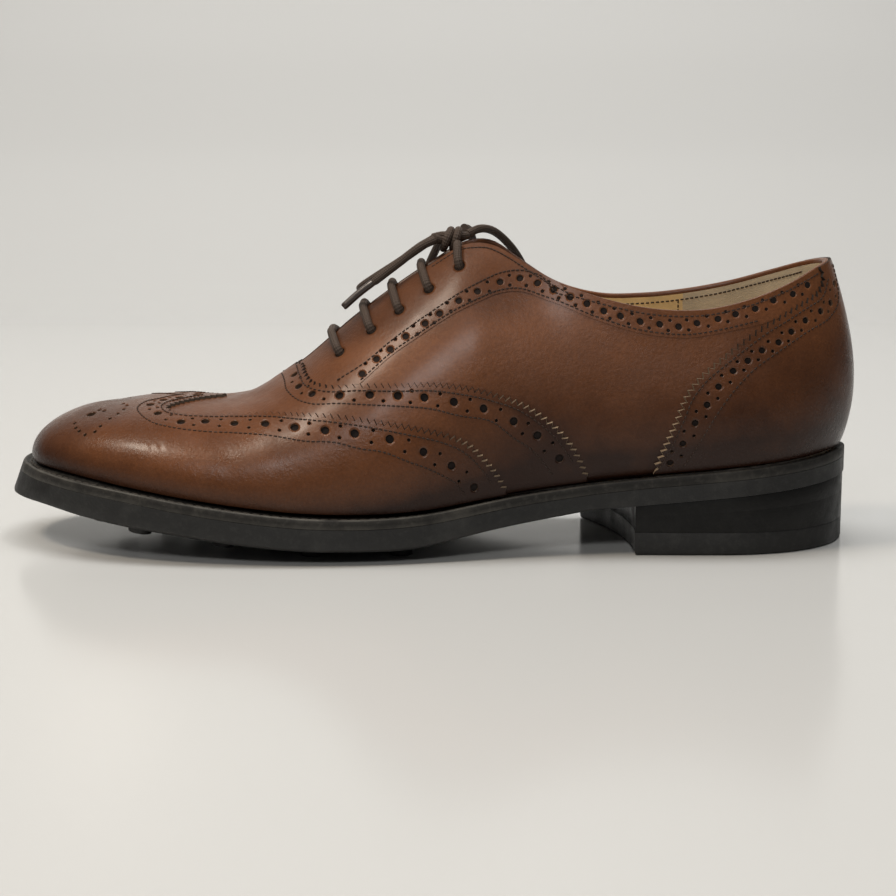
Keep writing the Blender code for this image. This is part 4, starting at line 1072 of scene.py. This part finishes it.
def ring_piece(name, loop, section, heights, finish):
    """A ring round the sole with one section all the way: inset, rise and wear, over given heights."""
    rings = []
    deep = heights - profile(2, loop[:, 0])
    reach = max(distance for distance, _, _ in section)
    for distance, rise, _ in section:
        level_loop = inset(bevelled(loop, (1 + rise / deep) * (1 - distance / reach)), distance)
        rings.append(np.column_stack([level_loop, heights + rise]))
    grid = np.stack(rings, axis=1)
    count, size = grid.shape[:2]
    faces = ring_faces(count, size, closed=True)
    wear = np.outer(1 - 0.7 * step(loop[:, 0], 20, 80), [row_wear for _, _, row_wear in section]).ravel()
    piece = make_piece(name, grid.reshape(-1, 3), faces, [finish], polish_wear_and_shade=wear)
    piece.data.set_sharp_from_angle(angle=math.radians(50))
    return piece


welt_loop = sole_loop((np.arange(WELT_ROWS) + 0.5) / WELT_ROWS)
welt_edge = sole_finish("dressed welt", EDGE_BLACK, EDGE_WORN, 0.5, 0.5, 1500, 0.2)
welt = ring_piece("welt_strip", welt_loop, WELT_SECTION, profile(1, welt_loop[:, 0]), welt_edge)
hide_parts("welt")

WELT_THREAD = (0.05, 0.042, 0.034)
WELT_STITCH = {"pitch": 3.3, "length": 2.7, "radius": 0.42, "sides": 6}
sewing_line = inset(bevelled(welt_loop, 0.7), 4.0)
closed_line = np.vstack([sewing_line, sewing_line[:1]])
sewing_run = run_of(closed_line)
count = int(sewing_run[-1] / WELT_STITCH["pitch"])
at = np.arange(count) / count * sewing_run[-1]
sewing = np.column_stack([np.interp(at, sewing_run, closed_line[:, k]) for k in (0, 1)])
sewing = np.column_stack([sewing, profile(1, sewing[:, 0]) - 0.75])
welt_thread = rough_finish("welt thread", WELT_THREAD, 0.6, 4000, 0.4)
upward = np.tile([0.0, 0.0, 1.0], (count, 1))
welt_sewn = stitches("stitching_welt", [(sewing, upward)], WELT_STITCH, welt_thread)


# Outsole and its studs
# A black rubber outsole cemented and sewn under the welt, with round studs moulded under the forepart
# and a step down at the waist.

RUBBER_BLACK = (0.011, 0.0107, 0.010)
RUBBER_WORN = (0.05, 0.048, 0.044)
SOLE_ROWS = 150
SOLE_TOP = 3.5
STUD_RADIUS = 4.0
STUD_DROP = 1.8
# Columns: x, first y, last y, count across
STUD_ROWS = [(-129, -8, 22, 2), (-115, -20, 32, 3), (-100, -31, 43, 4), (-86, -22, 30, 3), (-71, -32, 40, 4),
             (-56, -22, 28, 3), (-40, -32, 36, 4), (-25, -22, 22, 3), (-9, -31, 30, 4)]
FLOOR_STUDS = (-45.0, 0.0)


def across(x):
    """Outer and inner edge of the sole at x."""
    dense = sole_loop(np.linspace(0, 1, 801))
    tip = dense[:, 0].argmin()
    outer = np.interp(x, dense[:tip + 1, 0][::-1], dense[:tip + 1, 1][::-1])
    inner = np.interp(x, dense[tip:, 0], dense[tip:, 1])
    return outer, inner


def sole_bottom(x, y):
    """Underside of the outsole, crowned between its edges."""
    outer, inner = across(x)
    side = np.clip(2 * (y - outer) / (inner - outer) - 1, -1, 1)
    return profile(2, x) - profile(3, x) * (1 - side**4)


def make_outsole():
    """Rungs across the sole from edge to edge: side walls with rounded arrises, top and underside."""
    places = (np.arange(2 * SOLE_ROWS) + 0.5) / (2 * SOLE_ROWS)
    loop = sole_loop(places)
    top = profile(1, loop[:, 0]) - SOLE_TOP
    low = profile(2, loop[:, 0])
    arris = 1 - 0.85 * step(loop[:, 0], 56, 72)
    walls = [(1.4, top - 0.02), (0.12, top - 0.03), (0.02, top - 0.12), (0.05, (top + low) / 2),
             (0.02, low + 1.3), (0.3 * arris, low + 0.45 * arris), (1.0 * arris, low + 0.05 * arris)]
    deep = profile(1, loop[:, 0]) - low
    levels = [(inset(bevelled(loop, (height - low) / deep), distance), height) for distance, height in walls]
    foot = inset(loop, 2.6)
    sides = np.linspace(0, 1, 25)
    rings = []
    for k in range(SOLE_ROWS):
        m = 2 * SOLE_ROWS - 1 - k
        ring = [(*plan[k], height[k]) for plan, height in levels]
        under = foot[k] + (foot[m] - foot[k]) * sides[:, None]
        ring += list(np.column_stack([under, sole_bottom(under[:, 0], under[:, 1])]))
        ring += [(*plan[m], height[m]) for plan, height in levels[::-1]]
        rings.append(ring)
    size = len(rings[0])
    faces = ring_faces(SOLE_ROWS, size, turned=True)
    closing = [(k, k + 1, size - 2 - k, size - 1 - k) for k in range(len(walls) - 1)]
    closing.append(tuple(range(len(walls) - 1, size - len(walls) + 1)))
    faces += closing
    faces += [tuple((SOLE_ROWS - 1) * size + v for v in face[::-1]) for face in closing]
    rubber = sole_finish("sole rubber", RUBBER_BLACK, RUBBER_WORN, 0.5, 0.45, 1100)
    piece = make_piece("outsole_rubber", np.vstack(rings), faces, [rubber])
    piece.data.set_sharp_from_angle(angle=math.radians(45))
    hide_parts("outsole")
    return rubber


def stud_shape():
    """One stud modelled once: a short rubber disc with a rounded rim and a dimple."""
    bpy.ops.object.select_all(action="DESELECT")
    bpy.ops.mesh.primitive_cylinder_add(vertices=20, radius=STUD_RADIUS, depth=1.0, location=(0, 0, 0.5))
    stud = bpy.context.object
    bpy.ops.object.transform_apply(location=True, rotation=False, scale=False)
    bpy.ops.object.mode_set(mode="EDIT")
    bpy.ops.mesh.select_mode(type="FACE")
    bpy.ops.mesh.select_all(action="DESELECT")
    bpy.ops.object.mode_set(mode="OBJECT")
    for face in stud.data.polygons:
        face.select = face.center.z < 0.01 and face.normal.z < -0.9
    bpy.ops.object.mode_set(mode="EDIT")
    bpy.ops.mesh.bevel(offset=0.45, segments=2, affect="EDGES")
    bpy.ops.object.mode_set(mode="OBJECT")
    for face in stud.data.polygons:
        face.select = face.center.z < 0.01 and face.normal.z < -0.99
    bpy.ops.object.mode_set(mode="EDIT")
    bpy.ops.mesh.inset(thickness=1.5, depth=-0.25)
    bpy.ops.object.mode_set(mode="OBJECT")
    points = np.array([vert.co for vert in stud.data.vertices])
    faces = [tuple(face.vertices) for face in stud.data.polygons]
    bpy.data.objects.remove(stud)
    return points, faces


def make_studs(rubber):
    """The stud copied under the forepart, square to the sole; those under the ball end on the floor."""
    shape, shape_faces = stud_shape()
    points, faces = [], []
    for x, first, end, count in STUD_ROWS:
        for y in np.linspace(first, end, count):
            low = sole_bottom(x, y)[0] - STUD_DROP
            slope = (sole_bottom(x + 4, y)[0] - sole_bottom(x - 4, y)[0]) / 8
            if FLOOR_STUDS[0] < x < FLOOR_STUDS[1]:
                low, slope = 0.0, 0.0
            high = sole_bottom(x, y)[0] + 1.5 - low
            spot = shape.copy()
            spot[:, 2] = low + np.where(shape[:, 2] > 0.9, high, shape[:, 2]) + slope * shape[:, 0]
            spot[:, :2] += (x, y)
            base = len(points) * len(shape)
            points.append(spot)
            faces += [tuple(base + v for v in face) for face in shape_faces]
    piece = make_piece("sole_studs", np.vstack(points), faces, [rubber])
    piece.data.set_sharp_from_angle(angle=math.radians(40))


sole_rubber = make_outsole()
make_studs(sole_rubber)


# Heel
# A block of stacked lifts, pinned together, trimmed and dressed black, with a rubber top piece nailed
# under it. Its front, the breast, is cut in a shallow hollow.

BREAST = {"outer_x": 72.2, "inner_x": 57.6, "hollow": 4.2}
# Thickness of the top piece, middle of the plan, trim, and the lift line's place up the block
TOP_PIECE = 8.0
HEEL_MIDDLE = np.array([105.0, 0.5])
HEEL_TRIM = 0.4
LIFT_LINE = 0.6
HEEL_BLACK = (0.007, 0.0068, 0.0063)
HEEL_WORN = (0.022, 0.021, 0.019)


def heel_plan():
    """Plan of the heel: the hollow breast, then the sole's own edge round the back."""
    dense = sole_loop(np.linspace(0, 1, 361)[:-1])
    tip = dense[:, 0].argmin()
    outer = [p for p in dense[:tip] if p[0] > BREAST["outer_x"] + 0.4]
    inner = [p for p in dense[tip:] if p[0] > BREAST["inner_x"] + 0.4]
    corner_out = (BREAST["outer_x"], across(BREAST["outer_x"])[0])
    corner_in = (BREAST["inner_x"], across(BREAST["inner_x"])[1])
    breast = []
    for s in np.linspace(-1, 1, 25):
        x = corner_in[0] + (corner_out[0] - corner_in[0]) * (1 - s) / 2 + BREAST["hollow"] * (1 - s**2)
        breast.append((x, corner_in[1] + (corner_out[1] - corner_in[1]) * (1 - s) / 2))
    plan = np.vstack([breast, inner, outer])
    return plan + HEEL_TRIM * (HEEL_MIDDLE - plan) / np.linalg.norm(plan - HEEL_MIDDLE, axis=1)[:, None]


def stack_piece(name, plan, levels, finish):
    """A stack of plan loops, each pulled in by its own amount, capped below and above."""
    to_middle = (HEEL_MIDDLE - plan) / np.linalg.norm(plan - HEEL_MIDDLE, axis=1)[:, None]
    rings = [np.column_stack([plan + distance * to_middle, height]) for distance, height in levels]
    size = len(plan)
    faces = ring_faces(len(rings), size)
    faces.append(tuple(range(size))[::-1])
    faces.append(tuple((len(rings) - 1) * size + k for k in range(size)))
    piece = make_piece(name, np.vstack(rings), faces, [finish])
    piece.data.set_sharp_from_angle(angle=math.radians(40))
    return piece


plan = heel_plan()
ones = np.ones(len(plan))
piece_levels = [(1.0, 0 * ones), (0.35, 0.25 * ones), (0.05, 0.9 * ones), (0.0, 1.6 * ones),
                (0.0, (TOP_PIECE - 0.3) * ones), (0.12, (TOP_PIECE - 0.02) * ones)]
top_piece = stack_piece("top_piece_rubber", plan, piece_levels, sole_rubber)
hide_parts("heel_top_piece")
seat = profile(2, plan[:, 0]) - 0.05
foot_level = (TOP_PIECE + 0.05) * ones
lift_line = foot_level + LIFT_LINE * (seat - foot_level)
block_levels = [(0.1, foot_level), (0.0, foot_level + 0.2),
                (0.0, lift_line - 0.12), (0.02, lift_line), (0.0, lift_line + 0.12),
                (0.0, seat - 0.2), (0.1, seat)]
heel_dressing = sole_finish("heel dressing", HEEL_BLACK, HEEL_WORN, 0.42, 0.4, 900, 0.2)
block = stack_piece("heel_lifts", plan, block_levels, heel_dressing)
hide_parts("heel_block")


# Laces
# One round waxed cotton lace, dark brown, woven over a core. Its bars cross the throat from eyelet to
# eyelet, and the top pair is tied in a bow whose loops and tagged ends hang free.

LACE = 3.0
CORD_BROWN = (0.042, 0.028, 0.02)
TAG = (0.03, 0.019, 0.014)
BARS = 4
LACE_LIFT = 2.2
LACE_LEAN = 2.8
BAR_RISE = (0, 0, -0.3)
KNOT = {"centre": (8.6, 0.0, 107.8), "radius": (5.4, 4.6)}
KNOT_STRANDS = [
    [(-6.5, 4.5, 0.4), (-3, 2.5, 1.2), (0, 0, 0.8), (3, -1.0, 1.0), (5.5, 1.8, 1.2)],
    [(-6.0, -4.0, 0.4), (-3, -2.2, -0.4), (0, 0.6, -1.0), (3, 2.6, 0.2), (4.5, 6.0, 0.6)]]
LOOP_FRONT = [
    (2.2, 0.6, 108), (-2.6, 0.4, 104.8), (-9.6, 0, 100), (-16.8, -0.4, 95.4), (-22.4, 1.6, 91.6),
    (-24.2, 7.2, 89.8), (-18.6, 11.8, 92.8), (-9.6, 11, 99.4), (-2.2, 8.4, 105), (2.6, 5.8, 107.8)]
LOOP_REAR = [
    (14.2, 2.6, 109.4), (18.4, 8, 111), (23.6, 15.5, 110), (30, 23, 104.4), (36, 30.5, 94.8),
    (39.5, 36, 84), (37.5, 39.2, 75), (31.5, 40.4, 73.4), (26, 38.6, 81.5), (21.4, 33.6, 92),
    (17.6, 26.4, 102.4), (15.2, 17.2, 110), (13.2, 8.6, 111.4)]
END_FRONT = [
    (2.6, -5, 107.8), (-2, -7.2, 105.8), (-9.6, -8.2, 100.2), (-17.4, -8.6, 94.3), (-24.2, -9, 89.2),
    (-29.2, -9.6, 84.8)]
END_REAR = [
    (7.8, 7, 109.4), (5.4, 14, 107.4), (2, 22, 100.8), (-2, 29.6, 91), (-6, 35.4, 79.6), (-9, 39.4, 67)]


def lace_finish():
    """Woven waxed cotton: fine diagonal strands both ways round the cord, on its own UV map."""
    made, tree, shader = finish_of("waxed lace", CORD_BROWN, 0.62, specular=0.35)
    place = tree.nodes.new("ShaderNodeUVMap")
    split = tree.nodes.new("ShaderNodeSeparateXYZ")
    tree.links.new(place.outputs["UV"], split.inputs[0])
    weave = None
    for sign in (1.0, -1.0):
        lean = node_of(tree, "ShaderNodeMath", operation="MULTIPLY_ADD")
        lean.inputs[1].default_value = sign
        tree.links.new(split.outputs["X"], lean.inputs[0])
        tree.links.new(split.outputs["Y"], lean.inputs[2])
        turn_up = node_of(tree, "ShaderNodeMath", operation="MULTIPLY")
        turn_up.inputs[1].default_value = 2 * math.pi * 6
        tree.links.new(lean.outputs[0], turn_up.inputs[0])
        wave = node_of(tree, "ShaderNodeMath", operation="SINE")
        tree.links.new(turn_up.outputs[0], wave.inputs[0])
        if weave is None:
            weave = wave.outputs[0]
        else:
            crossed = node_of(tree, "ShaderNodeMath", operation="MULTIPLY")
            tree.links.new(weave, crossed.inputs[0])
            tree.links.new(wave.outputs[0], crossed.inputs[1])
            weave = crossed.outputs[0]
    shade = ranged(tree, weave, -0.8, 0.8, 0.0, 0.6)
    lighter = tuple(c * 1.7 for c in CORD_BROWN)
    tree.links.new(mixed(tree, shade, CORD_BROWN, lighter), shader.inputs["Base Color"])
    add_bump(tree, shader, weave, 0.5, 0.0003)
    add_bump(tree, shader, noise_at(tree, 5000, 3), 0.2, 0.0002)
    return made


def cord_line(route, spacing=1.0):
    """Smooth points through a route, close together."""
    route = np.asarray(route, float)
    run = run_of(route)
    return smooth(run, route, np.linspace(0, run[-1], int(run[-1] / spacing) + 2))


def tube(lines, radius, sides=14, slim=None):
    """Round cords along lines: points, faces and UV corners; slim is each ring's part of the radius."""
    points, faces, corners = [], [], []
    base = 0
    for line in lines:
        tangent = np.gradient(line, axis=0)
        tangent /= np.linalg.norm(tangent, axis=1)[:, None]
        side = np.cross(tangent[0], (0.3, 1.0, 0.2))
        side /= np.linalg.norm(side)
        run = run_of(line)
        count = len(line)
        for k, (spot, ahead) in enumerate(zip(line, tangent)):
            side = side - (side @ ahead) * ahead
            side /= np.linalg.norm(side)
            other = np.cross(ahead, side)
            angles = np.arange(sides) * 2 * math.pi / sides
            thick = radius * (1 if slim is None else slim[k])
            points.append(spot + thick * (np.cos(angles)[:, None] * side + np.sin(angles)[:, None] * other))
        faces += ring_faces(count, sides, base)
        for i in range(count - 1):
            for k in range(sides):
                u0, u1 = k / sides, (k + 1) / sides
                v0, v1 = run[i] / (2 * math.pi * radius), run[i + 1] / (2 * math.pi * radius)
                corners += [(u0, v0), (u1, v0), (u1, v1), (u0, v1)]
        faces.append(tuple(base + k for k in range(sides))[::-1])
        faces.append(tuple(base + (count - 1) * sides + k for k in range(sides)))
        corners += [(0.0, 0.0)] * (2 * sides)
        base += count * sides
    return np.vstack(points), faces, corners


def lace_piece(name, lines, finish, slim=None):
    """A piece of lace with its woven UV map."""
    points, faces, corners = tube(lines, LACE / 2, slim=slim)
    piece = make_piece(name, points, faces, [finish])
    weave = piece.data.uv_layers.new(name="weave")
    weave.data.foreach_set("uv", np.asarray(corners, np.float32).ravel())
    piece.data.set_sharp_from_angle(angle=math.radians(60))
    return piece


woven = lace_finish()


def over_facing(sign, along, from_edge, lean):
    """From inside an eyelet up out of it and over the facing to its edge, leaning toward the toe."""
    away = np.array([from_edge, from_edge - 0.25, from_edge - 1.3, from_edge - 3.4, from_edge * 0.5,
                     from_edge * 0.25, 0.0])
    lift = np.array([-1.2, 0.7, 1.9, LACE_LIFT, LACE_LIFT, LACE_LIFT, LACE_LIFT - 0.5])
    places = along - lean * (1 - away / from_edge)
    return laid(sign * places, rib_height(places) - away, lift)[0]


for k, (along, from_edge) in enumerate(EYELETS):
    outer, inner = (over_facing(sign, along, from_edge, LACE_LEAN if k < BARS else 0.0) for sign in (-1, 1))
    if k < BARS:
        middle = (outer[-1] + inner[-1]) / 2 + BAR_RISE
        route = np.vstack([outer, middle, inner[::-1]])
        bar = lace_piece("lace_bar_cord_%d" % (k + 1), [cord_line(route, 0.8)], woven)
        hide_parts("lace_bar_%d" % (k + 1))
    else:
        for side_name, strand in (("outer", outer), ("inner", inner)):
            top = lace_piece("lace_top_cord_" + side_name, [cord_line(strand, 0.8)], woven)
            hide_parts("lace_top_" + side_name)


def knot_wraps():
    """The knot's strands: two wraps round its middle and two strands that cross under them."""
    centre = np.array(KNOT["centre"])
    deep, tall = np.array(KNOT["radius"]) - LACE / 2
    angles = np.linspace(0, 2 * math.pi, 40)
    lines = []
    for shift, lean in ((-1.5, 0.35), (1.6, 0.25)):
        turn = np.sin(angles)
        ring = np.column_stack([shift + lean * deep * turn, deep * np.cos(angles), tall * turn])
        lines.append(centre + ring)
    lines += [centre + np.array(strand) for strand in KNOT_STRANDS]
    return [cord_line(line, 0.8) for line in lines]


knot = lace_piece("lace_knot_wraps", knot_wraps(), woven)
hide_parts("lace_knot")


TAG_LENGTH = 13.0
TAG_SLIM = 0.8
tag_finish = finish_of("lace tag", TAG, 0.3, coat=0.4)[0]


def tag_piece(name, line):
    """The hard tag pressed round the end of a lace, a little past it."""
    ahead = (line[-1] - line[-2]) / np.linalg.norm(line[-1] - line[-2])
    line = np.vstack([line, line[-1] + 0.6 * ahead])
    slim = np.ones(len(line))
    slim[[0, -1]] = 0.96, 0.8
    points, faces, _ = tube([line], LACE / 2 * (TAG_SLIM + 0.07), slim=slim)
    piece = make_piece(name, points, faces, [tag_finish])
    piece.data.set_sharp_from_angle(angle=math.radians(50))
    return piece


for node, route, tagged in (("lace_loop_front", LOOP_FRONT, False), ("lace_loop_rear", LOOP_REAR, False),
                            ("lace_end_front", END_FRONT, True), ("lace_end_rear", END_REAR, True)):
    line = cord_line(route)
    run = run_of(line)
    tail = run > run[-1] - TAG_LENGTH
    slim = np.where(tail, TAG_SLIM, 1.0) if tagged else None
    cord = lace_piece(node + "_cord", [line], woven, slim)
    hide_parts(node)
    tags = [tag_piece(node + "_tag", line[tail])] if tagged else []


# Floor, light and camera
# A pale seamless sheet laid on the floor and curved up behind, under soft lamps from above and in front.
# The camera stands low on the outer side, as in the photograph.

FLOOR_PALE = (0.475, 0.47, 0.452)
SKY = {"colour": (0.95, 0.97, 1.0, 1), "strength": 0.08}
CAMERA = {"place": (0.00593, -0.67892, 0.147), "tilt_down": 9.624, "lens": 75.94, "sensor": 36.0}
SWEEP = {"front": -1.6, "bend": 0.75, "radius": 0.5, "top": 1.6, "half": 1.6}


def make_floor():
    """A sheet that runs back along the floor and curves up into a wall."""
    turn_steps = np.linspace(0, math.pi / 2, 16)
    line = [(SWEEP["front"], 0.0), (SWEEP["bend"], 0.0)]
    bend, radius = SWEEP["bend"], SWEEP["radius"]
    line += [(bend + radius * math.sin(t), radius * (1 - math.cos(t))) for t in turn_steps[1:]]
    line.append((bend + radius, SWEEP["top"]))
    points = [(x, y, z) for x in (-SWEEP["half"], SWEEP["half"]) for y, z in line]
    count = len(line)
    faces = [(k, count + k, count + k + 1, k + 1) for k in range(count - 1)]
    mesh = bpy.data.meshes.new("sweep")
    mesh.from_pydata(points, [], faces)
    mesh.shade_smooth()
    mesh.materials.append(finish_of("sweep", FLOOR_PALE, 0.18)[0])
    sweep = bpy.data.objects.new("sweep", mesh)
    bpy.context.scene.collection.objects.link(sweep)


def add_light(name, location, target, size, power, mirrored=True, colour=(1.0, 1.0, 1.0)):
    """A soft rectangular light aimed at a point; one that isn't mirrored leaves no highlight."""
    lamp = bpy.data.lights.new(name, "AREA")
    lamp.shape = "RECTANGLE"
    lamp.size, lamp.size_y = size
    lamp.energy = power
    lamp.color = colour
    light = bpy.data.objects.new(name, lamp)
    bpy.context.scene.collection.objects.link(light)
    light.location = location
    light.visible_glossy = mirrored
    aim = np.array(target, float) - np.array(location, float)
    flat = math.hypot(aim[0], aim[1])
    light.rotation_euler = (math.atan2(flat, -aim[2]), 0, math.atan2(-aim[0], aim[1]))


make_floor()
add_light("ceiling", (0.0, 0.3, 1.4), (0, 0, 0.05), (1.3, 0.6), 5, mirrored=False)
add_light("key", (-0.66, -0.32, 1.1), (-0.03, 0, 0.05), (0.3, 0.2), 8, colour=(1.0, 0.88, 0.74))
add_light("front lamp", (-0.1, -1.0, 0.78), (0, 0, 0.06), (0.45, 0.2), 4.4)
add_light("top lamp", (0.16, 0.05, 1.2), (0.08, 0, 0.08), (0.3, 0.12), 1.5)
add_light("wall wash", (0.0, 0.2, 1.9), (0, 1.3, 0.4), (1.8, 0.8), 38, mirrored=False)
world = bpy.data.worlds.new("studio")
world.use_nodes = True
sky = world.node_tree.nodes["Background"]
sky.inputs["Color"].default_value = SKY["colour"]
sky.inputs["Strength"].default_value = SKY["strength"]
bpy.context.scene.world = world
bpy.context.scene.view_settings.view_transform = "Standard"

camera_data = bpy.data.cameras.new("photo camera")
camera_data.lens = CAMERA["lens"]
camera_data.sensor_width = CAMERA["sensor"]
camera = bpy.data.objects.new("photo camera", camera_data)
bpy.context.scene.collection.objects.link(camera)
camera.location = CAMERA["place"]
camera.rotation_euler = (math.radians(90 - CAMERA["tilt_down"]), 0, 0)
bpy.context.scene.camera = camera
